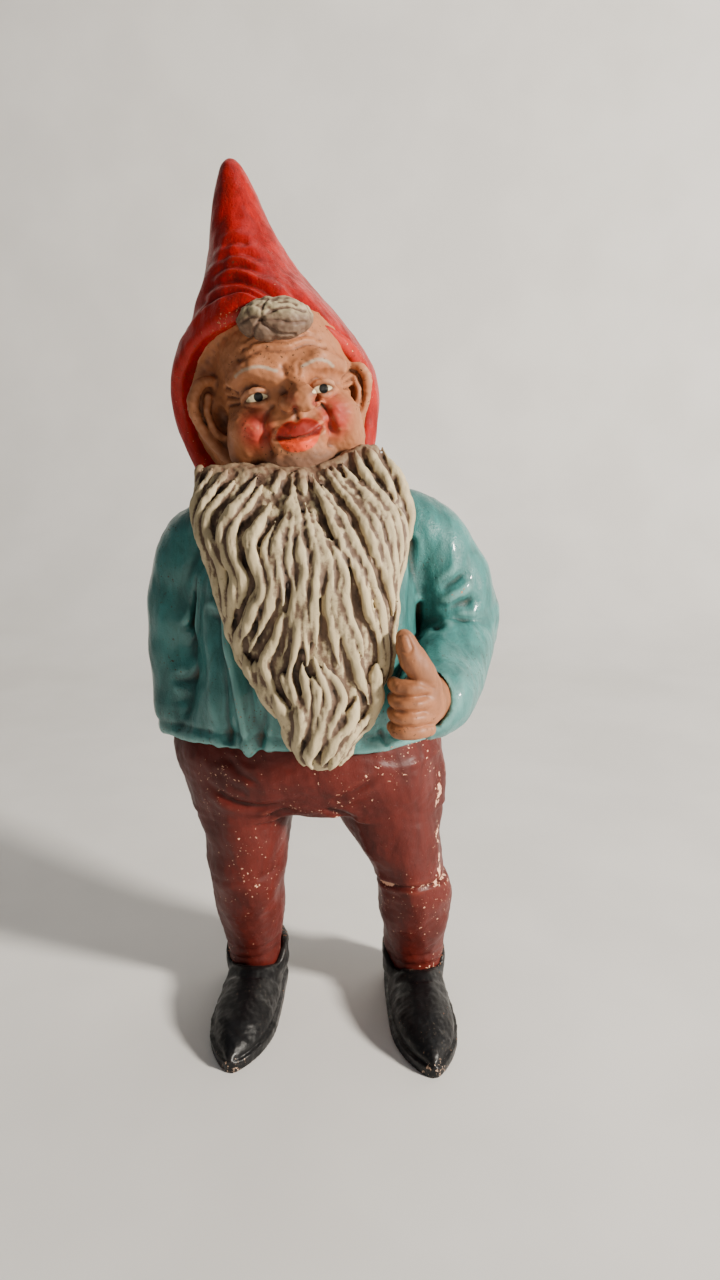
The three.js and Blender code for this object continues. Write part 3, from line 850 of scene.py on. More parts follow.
def head_clay():
    clay = Clay((-44, -41, 150), (20, 12, 211), sizes().face_cell / MM)

    def lump(centre, radii, blend, turn=(0, 0, 0)):
        clay.add(Ball(centre, radii, turn, HEAD), blend)

    def roll(points, radii, blend):
        clay.add(Rope(points, radii, HEAD), blend)

    lump((0, 0, 0), (17.6, 21.6, 25.0), 0)
    lump((-0.4, -8.5, 9.5), (14.6, 13.2, 12.6), 4)  # forehead
    lining = Stack(HOOD_BODY, grow=-3.4)  # what fills the hood behind its rim
    clay.add(
        Shape(lambda x, y, z: np.maximum(lining.distance(x, y, z), (0.4 - behind_rim(y, z)) * RIM_SLOPE)), 3
    )
    lump((-1.8, -0.4, -3.0), (22.0, 11.0, 20.0), 3)
    for s, dx in ((-1, -0.2), (1, 0.9)):  # brow, cheek and jowl
        brow = [(s * 12.2 + dx, -16.0, 4.2), (s * 7.6 + dx, -20.6, 6.3), (s * 2.6 + dx, -21.4, 4.4)]
        roll(brow, [1.6, 2.2, 1.9], 2.6)
        lump((s * 9.6 + dx, -15.8, -6.6), (5.7, 5.8, 5.2), 3.0)
        lump((s * 11.2 + dx, -12.0, -12.0), (5.0, 5.0, 6.5), 4.0)
    lump((0.7, -17.6, -10.0), (7.8, 5.2, 6.4), 3.0)  # muzzle
    lump((0.3, -17.0, -16.0), (8.0, 5.0, 4.6), 3.0)  # chin
    nose_bridge = [(0.9, -19.4, 5.0), (1.7, -22.2, 1.8), (2.9, -24.6, -0.8)]
    roll(nose_bridge, [1.8, 2.1, 2.5], 2.2)
    lump((NOSE_X, -25.0, -1.7), (3.6, 3.6, 3.2), 0.8)
    for s in (-1, 1):  # wings and nostrils
        lump((NOSE_X + s * 3.5, -22.4, -2.3), (2.2, 2.7, 2.0), 0.5)
        clay.cut(Ball((NOSE_X + s * 1.9, -24.6, -4.5), (0.95, 1.5, 0.9), placing=HEAD), 0.4)
    for s, x, z in ((-1, -7.5, 0.1), (1, 7.9, -0.1)):  # eye socket, eyeball, two lids and the bag below
        clay.cut(Ball((x, -22.6, z - 0.2), (4.2, 3.5, 2.4), (0, -6 * s, 0), HEAD), 1.8)
        lump((x, -17.2, z), (3.2, 3.2, 2.3), 0.25)
        upper = [
            (x - 3.5, -17.4, z - 0.8), (x - 2.0, -19.8, z + 0.9), (x, -20.5, z + 1.3),
            (x + 2.0, -19.8, z + 0.9), (x + 3.5, -17.6, z - 0.6),
        ]
        lower = [
            (x - 3.4, -17.4, z - 1.0), (x - 1.8, -19.6, z - 1.55), (x, -20.2, z - 1.7),
            (x + 1.8, -19.7, z - 1.5), (x + 3.4, -17.6, z - 0.8),
        ]
        roll(upper, [0.5, 0.75, 0.85, 0.75, 0.5], 0.35)
        roll(lower, [0.45, 0.65, 0.7, 0.65, 0.45], 0.4)
        bag = [(x + s * 4.6, -15.2, z - 3.6), (x + s * 1.4, -19.2, z - 4.2), (x - s * 2.8, -19.6, z - 3.2)]
        roll(bag, [0.7, 1.1, 0.7], 1.2)
    upper_lip = [
        (-5.0, -19.8, -9.2), (-2.6, -21.9, -8.9), (0.8, -22.7, -8.9), (4.4, -21.8, -8.5), (7.0, -19.4, -8.4),
    ]
    lower_lip = [
        (-4.2, -19.8, -11.3), (-1.8, -21.4, -12.2), (0.8, -21.8, -12.5), (3.4, -21.2, -12.1),
        (5.9, -19.3, -11.0),
    ]
    roll(upper_lip, [0.8, 1.6, 1.9, 1.6, 0.8], 0.5)
    roll(lower_lip, [0.7, 1.25, 1.45, 1.25, 0.7], 0.3)
    for side in EARS:
        ear = ear_parts(side)
        clay.add(ear["plate"], 1.6)
        clay.cut(ear["bowl"], 0.8)
        for part in ("rim", "inner fold", "lobe", "tragus"):
            clay.add(ear[part], 0.7)
    return clay


PUPIL_RADIUS = 1.12
NO_MARK = 9.0  # a distance at which no painted feature shows, mm
FACE_EDGE = -9  # the painted features are all in front of this depth
LIPS = [  # outline of the painted lips, front view
    (-4.4, -9.4), (-3.2, -7.5), (-0.8, -6.5), (0.8, -7.0), (2.4, -6.3), (4.8, -6.9), (6.4, -8.7),
    (5.6, -10.8), (4.0, -12.9), (0.6, -13.8), (-2.4, -13.2), (-3.9, -11.4),
]
LIP_LINE = [(-4.4, -9.8), (-2.2, -10.5), (0.8, -10.7), (3.8, -10.2), (6.4, -8.9)]
BROWS = [
    [(-11.6, 5.2), (-9.6, 6.2), (-5.8, 6.5), (-2.0, 5.0)],
    [(4.0, 5.2), (7.4, 6.2), (9.8, 5.6), (11.2, 4.4)],
]


def eye_marks(x, z):
    """Signed distances to the painted white and pupil of both eyes, in the head's front view."""
    whites, pupils = [], []
    for cx, cz, pupil in ((-7.5, 0.0, (-7.1, 0.25)), (7.8, -0.15, (8.3, 0.0))):
        outline = [
            (cx - 2.6, cz - 0.7), (cx - 1.3, cz + 0.4), (cx + 0.6, cz + 0.65), (cx + 2.1, cz + 0.2),
            (cx + 2.5, cz - 0.4), (cx + 0.8, cz - 0.95), (cx - 1.5, cz - 1.0),
        ]
        whites.append(outline_distance(outline, x, z))
        pupils.append(np.hypot(x - pupil[0], z - pupil[1] + 0.35) - PUPIL_RADIUS)
    return np.minimum(*whites), np.minimum(*pupils)


def face_marks(x, y, z, local):
    """Distances to each painted feature, mm, below zero inside it."""
    white, pupil = eye_marks(x, z)
    brows = np.full(len(x), NO_MARK)
    for line in BROWS:
        brows = np.minimum(brows, local.line_distance(front_view(line), flat=1) - 0.3)
    right_cheek = np.hypot((x + 8.8) / 1.0, (z + 7.6) / 1.25)
    left_cheek = np.hypot((x - 10.0) / 0.95, (z + 7.2) / 1.25)
    rouge = np.minimum(right_cheek, left_cheek) - 3.6
    nose_spot = np.minimum(np.hypot(x - 6.2, z + 2.0) - 0.4, np.hypot(x - 0.4, z + 1.6) - 0.2)
    nostrils = np.minimum(np.hypot(x - NOSE_X + 2.2, z + 3.7), np.hypot(x - NOSE_X - 2.4, z + 3.3)) - 0.75
    front = np.where(y < FACE_EDGE, 0.0, NO_MARK)
    return {
        "nostrils": nostrils + np.where(y < -20, 0.0, NO_MARK),
        "eye_white": white + front,
        "pupil": pupil + front,
        "brow": brows + front,
        "lips": outline_distance(LIPS, x, z) + front,
        "lip_line": local.line_distance(front_view(LIP_LINE), flat=1) + front,
        "rouge": np.minimum(rouge, nose_spot) + front,
        "chin": z + 0.012 * (x - 0.5) ** 2,
    }


def head_skin():
    skin = head_clay().surface(4)
    local = skin.within(HEAD)
    facing = smooth_step(-local.points[:, 1], 6, 12)

    def crease(points, width, depth):
        away = local.line_distance(front_view(points), flat=1)
        return -1.55 * depth * facing * (bump(away, width) - 0.3 * bump(away - 2.4 * width, 1.4 * width))

    height = np.zeros(len(skin.points))
    for s, dx in ((-1, 0.2), (1, 1.4)):  # from nose to mouth, beside the mouth, and crow's feet
        height += crease([(s * 4.6 + dx, -2.6), (s * 6.8 + dx, -5.4), (s * 7.9 + dx, -10.2)], 0.8, 0.5)
        height += crease([(s * 6.3 + dx, -8.6), (s * 7.0 + dx, -10.6), (s * 6.6 + dx, -13.4)], 0.8, 0.55)
        for k in range(3):
            spread = (k - 1) * 2.1
            height += crease([(s * 12.0 + dx, 0.2 + spread * 0.5), (s * 14.6 + dx, 1.0 + spread)], 0.35, 0.35)
    for k, rise in enumerate((9.4, 11.6, 13.6)):  # across the forehead
        ends = rise - 0.8
        wave = [(-10 + k, ends), (-5, rise + 0.5), (0.6, rise - 0.4), (6, rise + 0.5), (10 - k, ends)]
        height += crease(wave, 0.5, 0.24)
    height += crease([(-0.2, 3.8), (-0.4, 5.8)], 0.45, 0.18) + crease([(2.8, 3.6), (3.2, 5.6)], 0.45, 0.16)
    height += crease([(0.9, -4.2), (0.9, -6.0)], 0.6, 0.35)
    height += crease(LIP_LINE, 0.42, 0.75)
    height += 0.1 * unevenness(skin.points, 4.2, 11) + 0.05 * unevenness(skin.points, 1.6, 12)
    skin.tool(height)
    local = skin.within(HEAD)
    return skin, {"hollow": skin.hollow(18), **face_marks(*local.points.T, local)}


def head_paint():
    p = paints()
    paint = Paint("Skin").brushed(p.skin, tint(p.skin, 0.74), 4.5)
    b = paint.b
    wobble = b.ragged(paint.place, 1.0, 3.0, 0.6, 0.5)

    def zone(name, soft, reach=0.0):
        return b.edge(b.mark(name), wobble, reach + soft, reach - soft)

    # painted shade: the skin darkened in its folds and hollows
    paint.shade(b.ramp(paint.hollow, 0.03, 0.27), FACE_TONES["folds"], 0.82)
    # painted highlight: the skin made lighter on what stands proud
    paint.shade(b.ramp(paint.hollow, -0.1, -0.5), HIGHLIGHTS_AND_WEAR["skin"], 0.5)
    blotches = b.ramp(b.noise(paint.place, 2.4, 4.0, 0.6), 0.2, 0.5)
    paint.shade(b.math("MULTIPLY", zone("rouge", 2.2, 0.2), blotches), FACE_TONES["rouge"], 0.95)
    paint.shade(zone("brow", 0.35), FACE_TONES["brows"], 0.7)
    ragged = b.ragged(paint.place, 1.6, 4.0, 0.65, 3.5)
    # the chin darker towards the beard
    paint.shade(b.edge(b.mark("chin"), ragged, -12.0, -15.6), FACE_TONES["chin darkening"], 0.88)
    paint.shade(zone("lips", 0.22), FACE_TONES["lips"], 0.97)
    # painted shade: the upper lip, which faces down, darker than the lower
    upper = b.math("MULTIPLY", b.ramp(b.mark("chin"), -10.8, -10.0), zone("lips", 0.5))
    paint.shade(upper, FACE_TONES["upper lip shade"], 0.92)
    paint.shade(zone("lip_line", 0.45, 0.25), FACE_TONES["mouth"], 0.9)
    paint.shade(zone("nostrils", 0.4), FACE_TONES["nostrils"], 0.85)
    paint.shade(zone("eye_white", 0.9, 0.5), FACE_TONES["eye rims"], 0.8)
    paint.shade(b.ramp(b.mark("eye_white"), 0.12, -0.1), FACE_TONES["eye whites"])
    paint.shade(b.ramp(b.mark("pupil"), 0.1, -0.1), FACE_TONES["pupils"])
    paint.chipped(-0.25, 0.8, p.clay, tint(p.skin, 0.6))
    paint.grimy(p.grime, 0.26, 1.0, 0.9)
    return paint.finish(0.7, 0.5, relief=0.1, specular=0.35)


# ---------------------------------------------------------------- forelock
TUFT_GROOVES = [  # front view: depth and x, z of each groove between the tuft's strands
    (0.62, [(-3.6, 16.6), (-0.6, 18.0), (3.0, 18.2), (6.6, 17.0)]),
    (0.62, [(-3.6, 16.4), (0.4, 15.6), (3.6, 14.6), (6.4, 14.6)]),
    (0.62, [(-3.8, 16.2), (-2.0, 14.2), (0.6, 12.8), (3.4, 12.4)]),
    (0.62, [(-4.0, 16.4), (-5.6, 14.6), (-6.2, 12.8)]),
    (0.35, [(-3.8, 16.8), (-6.0, 17.2), (-8.2, 16.4)]),
    (0.35, [(-3.4, 17.0), (-3.0, 19.0), (-1.4, 20.8)]),
    (0.35, [(0.6, 19.6), (3.0, 19.4), (4.8, 18.6)]),
]


def forelock_skin():
    clay = Clay((-24, -38, 189), (3, -18, 211), FORELOCK_CELL)
    clay.add(Ball((-0.6, -19.8, 16.4), (8.7, 5.2, 5.0), (-20, 4, 0), HEAD))
    clay.add(Ball((2.6, -21.6, 15.6), (5.0, 3.8, 3.6), (-20, 0, 0), HEAD), 1.5)
    skin = clay.surface(3)
    local = skin.within(HEAD)
    x, _, z = local.points.T
    height = 0.22 * unevenness(skin.points, 3.4, 21) + 0.07 * unevenness(skin.points, 1.3, 22)
    for depth, groove in TUFT_GROOVES:
        height -= depth * bump(local.line_distance(front_view(groove), flat=1), 0.3)
    skin.tool(height)
    return skin, {"hollow": skin.hollow(12), "under": z + 0.12 * x}


class HairPaint(Paint):
    """Cream paint with a taupe wash that has run into the grooves between the locks, and painted shade in the
    deepest grooves.
    """

    def __init__(self, name, light):
        super().__init__(name)
        p = paints()
        b = self.b
        self.brushed(p.hair, tint(p.hair, 0.7), 3.0)
        self.ragged = b.ragged(self.place, 1.3, 5.0, 0.65, 0.42)
        height = b.math("ADD", self.hollow, self.ragged)
        self.shade(b.ramp(height, -0.06 + light, 0.14 + light), p.hair_wash, 0.95)
        # painted shade: nearly black in the deepest grooves
        self.shade(b.ramp(height, 0.14 + light, 0.42 + light), tint(p.hair_wash, 0.2), 0.92)

    def ragged_zone(self, name, spread, start, end):
        return self.b.edge(self.b.mark(name), self.b.math("MULTIPLY", self.ragged, spread), start, end)

    def dried(self):
        self.grimy(tint(paints().grime, 1.1), 0.6, 0.4, 0.7)
        return self.finish(0.72, 0.55, relief=0.16, specular=0.35)


def forelock_paint():
    """The tuft's lower half is darkened with painted shade."""
    paint = HairPaint("Forelock hair", -0.06)
    # painted shade: the tuft darker on its lower half
    lower_half = paint.ragged_zone("under", 9.0, 18.8, 15.6)
    paint.shade(lower_half, tint(paints().hair_wash, 1.15), 0.92)
    return paint.dried()


def beard_paint():
    """The beard is rubbed in places, and darker towards its roots along the face."""
    paint = HairPaint("Beard hair", -0.04)
    rubbed = paint.b.ramp(paint.b.noise(paint.place, 16.0, 3.0, 0.55), 0.58, 0.76)
    paint.shade(rubbed, tint(paints().hair_wash, 1.15), 0.25)
    # the beard darker towards its roots along the face
    paint.shade(paint.ragged_zone("root", 8.0, -5.0, -0.4), HAIR_ROOTS, 0.75)
    return paint.dried()


# ---------------------------------------------------------------- beard
BEARD_BODY = [  # x, y, z, half width, half depth, from the point to the roots
    (-0.8, -38, 93.9, 3.0, 2.6), (-0.9, -38, 96.6, 5.6, 4.4), (-0.8, -37.8, 101, 7.4, 5.8),
    (0.0, -37, 107, 10.6, 7.0), (-1.2, -36, 115, 15.2, 8.2), (-2.4, -35, 124, 18.6, 9.2),
    (-3.1, -34, 133, 20.4, 10.2), (-4.1, -32.4, 142, 22.0, 11.4), (-5.0, -30.8, 150, 24.6, 11.4),
    (-5.4, -28.8, 157, 25.9, 9.4), (-6.4, -26.6, 164, 24.2, 6.4), (-6.4, -25.8, 169, 21.4, 4.2),
    (1.0, -25.0, 174, 11.5, 2.4),
]
PARTING = math.radians(3)
LOCK_STEP = 1.2  # length of one step along a lock, mm
LOCK_SEED = 17
SHORT_LOCK_TRIES = 1100
MOST_STEPS = 60  # no lock gets longer than this
POINT_LEVEL = 94.5  # no lock hangs lower than the beard's point
ROUND_THE_SIDE = 1.9  # radians from the front at which the locks end
LOCK_SIDES = 8
HAIR_SLOPE = 0.75  # turns a height above the hair line into a distance square to it
BEARD_BACK = -15.5  # the beard's flat back, against the chest
HEAVY_LOCKS = [  # locks whose ends stand off the outline: start turn, top, foot
    (-1.42, 150, 133.5), (-1.36, 142, 124), (-1.26, 133, 114.5), (-1.1, 124, 106), (1.02, 118, 103.4),
    (0.6, 113, 97), (-0.35, 114, 95.5), (0.1, 111, 94.6), (-0.8, 116, 98), (0.9, 122, 108),
]


def on_beard(body, turn, z, lift=0.0):
    """A point on the beard at a turn about its middle, 0 at the front."""
    cx, cy, wide, deep = body.section(z)
    return np.array([cx + (wide + lift) * math.sin(turn), cy - (deep + lift) * math.cos(turn), z])


def hair_line(x, y, z):
    """Height above the sloping edge where the beard's roots meet the face; below zero is beard."""
    return z - 167.6 - 5.6 * smooth_step(x, -3, 13) + 0.3 * np.maximum(-y - 30, 0)


def comb(body, turn, z):
    """Radians a lock turns outwards for each millimetre it hangs lower: two partings and a wave."""
    wide = max(float(body.section(z)[2]), 7)
    away = turn - PARTING
    side = math.tanh(away / 0.14)
    fan = math.sin(min(1.75 * abs(away), math.pi))
    parted = 1.25 * math.exp(-max(168 - z, 0) / 12) + 1.15 * math.exp(-(((z - 136) / 7.5) ** 2))
    long_wave = 0.58 * math.cos((z - 155) / 33 * 2 * math.pi + 0.8 * away)
    short_wave = 0.24 * math.cos(z / 15 * 2 * math.pi + 3 * away)
    mirrored = smooth_step(z, 110, 124)
    swing = mirrored * math.tanh((away + 0.08) / 0.34) + 1 - mirrored
    return (side * parted * fan + swing * (long_wave + short_wave)) / wide


def lock_paths():
    """Hair locks as rows of points with a radius, spaced so that they run side by side and fork."""
    random = np.random.default_rng(LOCK_SEED)
    body = Stack(BEARD_BODY)
    thick = sizes().lock_width / MM / 2
    paths = []
    taken = [np.full((1, 3), 999.0)]

    def crowded(crowd, spot, gap):
        return ((crowd - spot) ** 2).sum(axis=1).min() < gap * gap

    def walk(turn, z, way, gap, foot=POINT_LEVEL, most=MOST_STEPS):
        """Steps along the combed direction, down with way at 1, until something is in the way."""
        rows = []
        crowd = np.concatenate(taken)
        for _ in range(most):
            turn += way * LOCK_STEP * comb(body, turn, z)
            z -= way * LOCK_STEP
            spot = on_beard(body, turn, z)
            off_the_beard = z < foot or abs(turn) > ROUND_THE_SIDE or hair_line(*spot) > 0.4
            if off_the_beard or crowded(crowd, spot, gap):
                return rows
            rows.append((turn, z))
        return rows

    def lay(turns, swell, lift, end_lift=0.0):
        """Gives a lock its thickness, tapered at both ends, and its place above the beard's mass."""
        rows = []
        for k, (turn, z) in enumerate(turns):
            t = k / (len(turns) - 1)
            taper = min(1.0, 0.15 + 4.5 * t, 0.25 + 3.0 * (1 - t))
            radius = thick * swell * taper * (1 + 0.14 * math.sin(0.45 * k + 9 * swell))
            rise = lift + end_lift * smooth_step(t, 0.55, 1.0) - 0.18 * radius
            rows.append((*on_beard(body, turn, z, rise), radius))
        paths.append(np.array(rows))

    def grow(turn, z, least, gap, most):
        """A lock through one spot, both ways until it would crowd its neighbours."""
        if crowded(np.concatenate(taken), on_beard(body, turn, z), gap):
            return
        above = walk(turn, z, -1, 0.5 * gap, most=most)
        below = walk(turn, z, 1, 0.5 * gap, most=most)
        turns = above[::-1] + [(turn, z)] + below
        if len(turns) >= least:
            taken.append(np.array([on_beard(body, a, b) for a, b in turns]))
            lay(turns, random.uniform(0.85, 1.2), random.uniform(-0.1, 0.45))

    for i in range(sizes().locks):  # the longest, from the jaw and the two partings
        place = 2 * (i + 0.5) / sizes().locks - 1
        grow(1.5 * place, 152 - 3.0 * (i % 5), 12, 2.5, random.integers(12, 30))
    for _ in range(SHORT_LOCK_TRIES):  # shorter ones wherever there is room
        turn, level = random.uniform(-1.75, 1.75), random.uniform(96, 172)
        grow(turn, level, 6, random.uniform(2.1, 2.5), random.integers(8, 22))
    for turn, top, foot in HEAVY_LOCKS:
        lay([(turn, top)] + walk(turn, top, 1, 0.0, foot), random.uniform(1.15, 1.35), 0.5, 0.9)
    return paths


def make_lock_tree(material):
    """Sweeps a tapered tube along every lock's path."""
    tree = bpy.data.node_groups.new("Beard locks", "GeometryNodeTree")
    defaults = {"Fullness": ("Float", 1.0), "Sides": ("Int", LOCK_SIDES), "Seed": ("Int", 5)}
    values = {}
    tree.interface.new_socket("Paths", in_out="INPUT", socket_type="NodeSocketGeometry")
    for label, (kind, value) in defaults.items():
        socket = tree.interface.new_socket(label, in_out="INPUT", socket_type="NodeSocket" + kind)
        values[socket.identifier] = value
    tree.interface.new_socket("Locks", in_out="OUTPUT", socket_type="NodeSocketGeometry")
    source = tree.nodes.new("NodeGroupInput").outputs
    sink = tree.nodes.new("NodeGroupOutput")
    b = Bench(tree)
    profile = b.put("GeometryNodeCurvePrimitiveCircle", Resolution=source["Sides"], Radius=1.0)
    which = b.put("GeometryNodeCurveOfPoint")
    swell = b.put("FunctionNodeRandomValue", ID=which.outputs["Curve Index"], Seed=source["Seed"])
    b.feed(swell, "2", 0.9)
    b.feed(swell, "3", 1.1)
    fuller = b.math("MULTIPLY", b.put("GeometryNodeInputRadius").outputs[0], source["Fullness"])
    uneven = b.math("MULTIPLY", fuller, swell.outputs[1])
    tube = {"Profile_Curve": profile.outputs["Curve"], "Scale": uneven, "Fill_Caps": True}
    sweep = b.put("GeometryNodeCurveToMesh", Curve=source["Paths"], **tube)
    whole = b.put("GeometryNodeRealizeInstances", Geometry=sweep.outputs[0])
    finish = b.put("GeometryNodeSetMaterial", Geometry=whole.outputs[0], Material=material)
    tree.links.new(finish.outputs[0], sink.inputs[0])
    return tree, values


def lock_mesh(material):
    """The locks as closed tubes, swept by the node tree, in figure millimetres."""
    paths = lock_paths()
    curve = bpy.data.curves.new("Lock paths", "CURVE")
    curve.dimensions = "3D"
    for path in paths:
        line = curve.splines.new("POLY")
        line.points.add(len(path) - 1)
        line.points.foreach_set("co", np.column_stack([path[:, :3], np.ones(len(path))]).ravel())
        line.points.foreach_set("radius", path[:, 3])
    carrier = bpy.data.objects.new("Lock paths", curve)
    bpy.context.scene.collection.objects.link(carrier)
    tree, values = make_lock_tree(material)
    sweep = carrier.modifiers.new("Locks", "NODES")
    sweep.node_group = tree
    for identifier, value in values.items():
        sweep[identifier] = value
    ready = carrier.evaluated_get(bpy.context.evaluated_depsgraph_get())
    mesh = bpy.data.meshes.new_from_object(ready)
    mesh.calc_loop_triangles()
    points = np.zeros(len(mesh.vertices) * 3, np.float32)
    mesh.vertices.foreach_get("co", points)
    corners = np.zeros(len(mesh.loop_triangles) * 3, np.int32)
    mesh.loop_triangles.foreach_get("vertices", corners)
    carrier.modifiers.remove(sweep)
    bpy.data.objects.remove(carrier)
    bpy.data.meshes.remove(mesh)
    return points.reshape(-1, 3), corners.reshape(-1, 3).astype(np.uint32)


def beard_skin(material):
    cell = sizes().beard_cell / MM
    clay = Clay((-38, -50, 88), (27, -15, 176), cell)
    clay.add(Stack([(x, y, z, wide - 0.7, deep - 0.7) for x, y, z, wide, deep in BEARD_BODY]))
    points, triangles = lock_mesh(material)
    cells = ((points - clay.low) / cell).astype(np.float32)
    grid = openvdb.FloatGrid.createLevelSetFromPolygons(cells, triangles=triangles, halfWidth=4.0)
    tubes = np.zeros(clay.value.shape, np.float32)
    grid.copyToArray(tubes)
    clay.value = smooth_min(clay.value, tubes * cell, 0.3)
    clay.cut(Shape(lambda x, y, z: BEARD_BACK - y), 1.0)
    clay.cut(Shape(lambda x, y, z: -HAIR_SLOPE * hair_line(x, y, z)), 1.6)
    skin = clay.surface(2)
    height = 0.26 * unevenness(skin.points * (1, 1, 0.5), 4.0, 31)
    height += 0.09 * unevenness(skin.points * (1, 1, 0.2), 1.2, 32)
    skin.tool(height)
    return skin, {"hollow": skin.hollow(14), "root": hair_line(*skin.points.T)}


# ---------------------------------------------------------------- jacket
JACKET_BODY = [  # x, y, z, half width, half depth, from below the hem to the collar
    (-6.5, 0.5, 84, 41.2, 27.2), (-6.5, 0.5, 90, 40.4, 27), (-6.4, -0.5, 97, 35.6, 27.6),
    (-6.2, -2.2, 108, 31, 29.4),
    (-6, -2.5, 122, 30, 29.4), (-5.8, -1.5, 136, 30, 27.4), (-5.6, 0, 147, 28, 23), (-6, 1, 154, 22, 17.5),
    (-6.6, 1.2, 159, 14, 13),
]
RIGHT_SLEEVE = [  # x, y, z, radius, as in the two rows of the left arm
    (-40.2, -1.5, 91.5, 7.8), (-40.6, -1.5, 97, 9.2), (-41, 0, 108, 10.0), (-41.2, 1.5, 120, 10.2),
    (-40.2, 2, 132, 10.4), (-37, 1.5, 143, 9.8), (-31, 1, 149.5, 8.2),
]
LEFT_UPPER = [
    (36.8, 4.8, 117, 10.6), (35.4, 3.6, 126, 11.8), (31.8, 2.4, 136, 11.4), (27, 1.5, 145, 10.4),
    (20.4, 1, 150, 9),
]
LEFT_FORE = [
    (38.0, 9, 119, 8.4), (36.8, 3, 117, 10.2), (33.8, -6.5, 113.4, 11), (30.2, -17, 110, 10.6),
    (27.8, -26, 108, 10.2),
]
CUFF_MOUTH = ((25.6, -31.0, 109.6), (6.3, 7.6, 7.1))  # centre and radii of the hollow round the wrist
HEM_FRONT = 93.3  # height of the hem over the belly
HEM_BACK = 85.2
HEM_DEPTH = 54  # from the belly to the seat
JACKET_FOLDS = [  # front view: width, rise and x, z of each broad fold
    (1.5, 1.9, [(-25.0, 138), (-24.2, 122), (-21.8, 108), (-20.6, 92)]),
    (1.5, -1.6, [(-29.0, 128), (-27.6, 112), (-26.6, 95)]),
    (1.0, -0.7, [(-15.4, 108), (-16.2, 101), (-17.6, 95)]),
    (1.0, -0.9, [(22.2, 146), (22.4, 134), (21.8, 122)]),
    (0.9, -0.7, [(24.6, 128), (24.2, 118), (24.4, 98)]),
    (0.8, -0.6, [(14.0, 98), (15.4, 94)]),
]
JACKET_CREASES = [  # width, depth and path of the creases at the bent elbow, the armpits and the pocket
    (1.3, 0.8, [(28.2, -9, 129.6), (32.0, -9.5, 133.6), (38.6, -7, 138.4)]),
    (1.5, 1.0, [(28.4, -9, 127.6), (34.0, -9.6, 128.4), (42.0, -5.5, 130.4)]),
    (1.2, 1.0, [(28.0, -9, 124.8), (31.2, -11.6, 119.8), (36.0, -11, 113.8)]),
    (0.9, 0.5, [(32.6, -9.6, 126.2), (36.4, -8.4, 124.2), (40.0, -5.5, 123.4)]),
    (0.9, 0.8, [(25.2, -9.5, 121.6), (27.8, -14, 116.4), (31, -17, 111.4)]),
    (1.1, 1.7, [(-31.0, -10, 141), (-33.6, -9, 134), (-35.6, -8.5, 126), (-36.2, -8.6, 117)]),
    (0.9, 0.8, [(-32.0, -9, 131), (-36, -8.5, 124.5), (-40, -8.6, 121)]),
    (1.2, 0.7, [(-33.4, -9, 113), (-37.6, -10.4, 108.4), (-44, -8.6, 107.4)]),
    (1.1, 0.7, [(-33.8, -9.4, 105), (-37.0, -10.6, 99.6), (-41, -9.4, 96.6)]),
    (1.0, 0.9, [(44, 2, 128), (46.4, 4, 121), (46.6, 6, 114)]),
    (0.9, 0.7, [(33, -20, 115), (36, -14, 118), (38, -8, 121)]),
]
BACK_SEAM = [(-6, 28, 150), (-6, 30, 120), (-6.5, 28, 88)]


def hem_height(y):
    """Height of the hem's slanting plane, which rises to the belly."""
    return HEM_BACK + (HEM_FRONT - HEM_BACK) * (HEM_DEPTH / 2 - y) / HEM_DEPTH


def rope_of(rows):
    return Rope([row[:3] for row in rows], [row[3] for row in rows])


def jacket_skin():
    clay = Clay((-55, -36, 80), (53, 32, 163), sizes().body_cell / MM)
    clay.add(Stack(JACKET_BODY))
    clay.add(rope_of(RIGHT_SLEEVE), 2.4)
    clay.add(rope_of(LEFT_UPPER), 3.2)
    clay.add(rope_of(LEFT_FORE), 1.8)

    def below_hem(x, y, z):
        return z - hem_height(y) + 0.35 * np.sin(x / 5.0) + 0.5 * np.sin(x / 11.0 + 1)

    clay.cut(Shape(below_hem), 0.9)
    clay.cut(Ball(*CUFF_MOUTH), 0.8)
    skin = clay.surface(4)
    y, z = skin.points[:, 1], skin.points[:, 2]
    facing = smooth_step(-skin.normals()[:, 1], -0.1, 0.45)
    height = 0.35 * unevenness(skin.points, 15, 41) + 0.07 * unevenness(skin.points * (1, 1, 0.4), 3.2, 42)
    hem = z - hem_height(y)
    height += 0.4 * bump(hem - 1.6, 1.5) - 0.35 * bump(hem - 4.4, 0.9)
    for width, rise, fold in JACKET_FOLDS:
        away = skin.line_distance(front_view(fold), flat=1)
        height += rise * (bump(away, width) - 0.35 * bump(away - 2.1 * width, width)) * facing
    for width, depth, crease in JACKET_CREASES:
        height += skin.crease(crease, width, depth, lips=0.5)
    behind = skin.normals()[:, 1]
    height -= 0.5 * smooth_step(behind, 0.3, 0.8) * bump(skin.line_distance(BACK_SEAM, flat=1), 0.8)
    for start, lean in ((-20, 5), (-31, -3), (8, -5), (19, 4)):  # long soft folds down the back
        line = front_view([(start, 126), (start + lean, 108), (start + lean * 1.6, 92)])
        height += 0.55 * smooth_step(behind, 0.2, 0.8) * bump(skin.line_distance(line, flat=1), 3.0)
    return skin.tool(height)


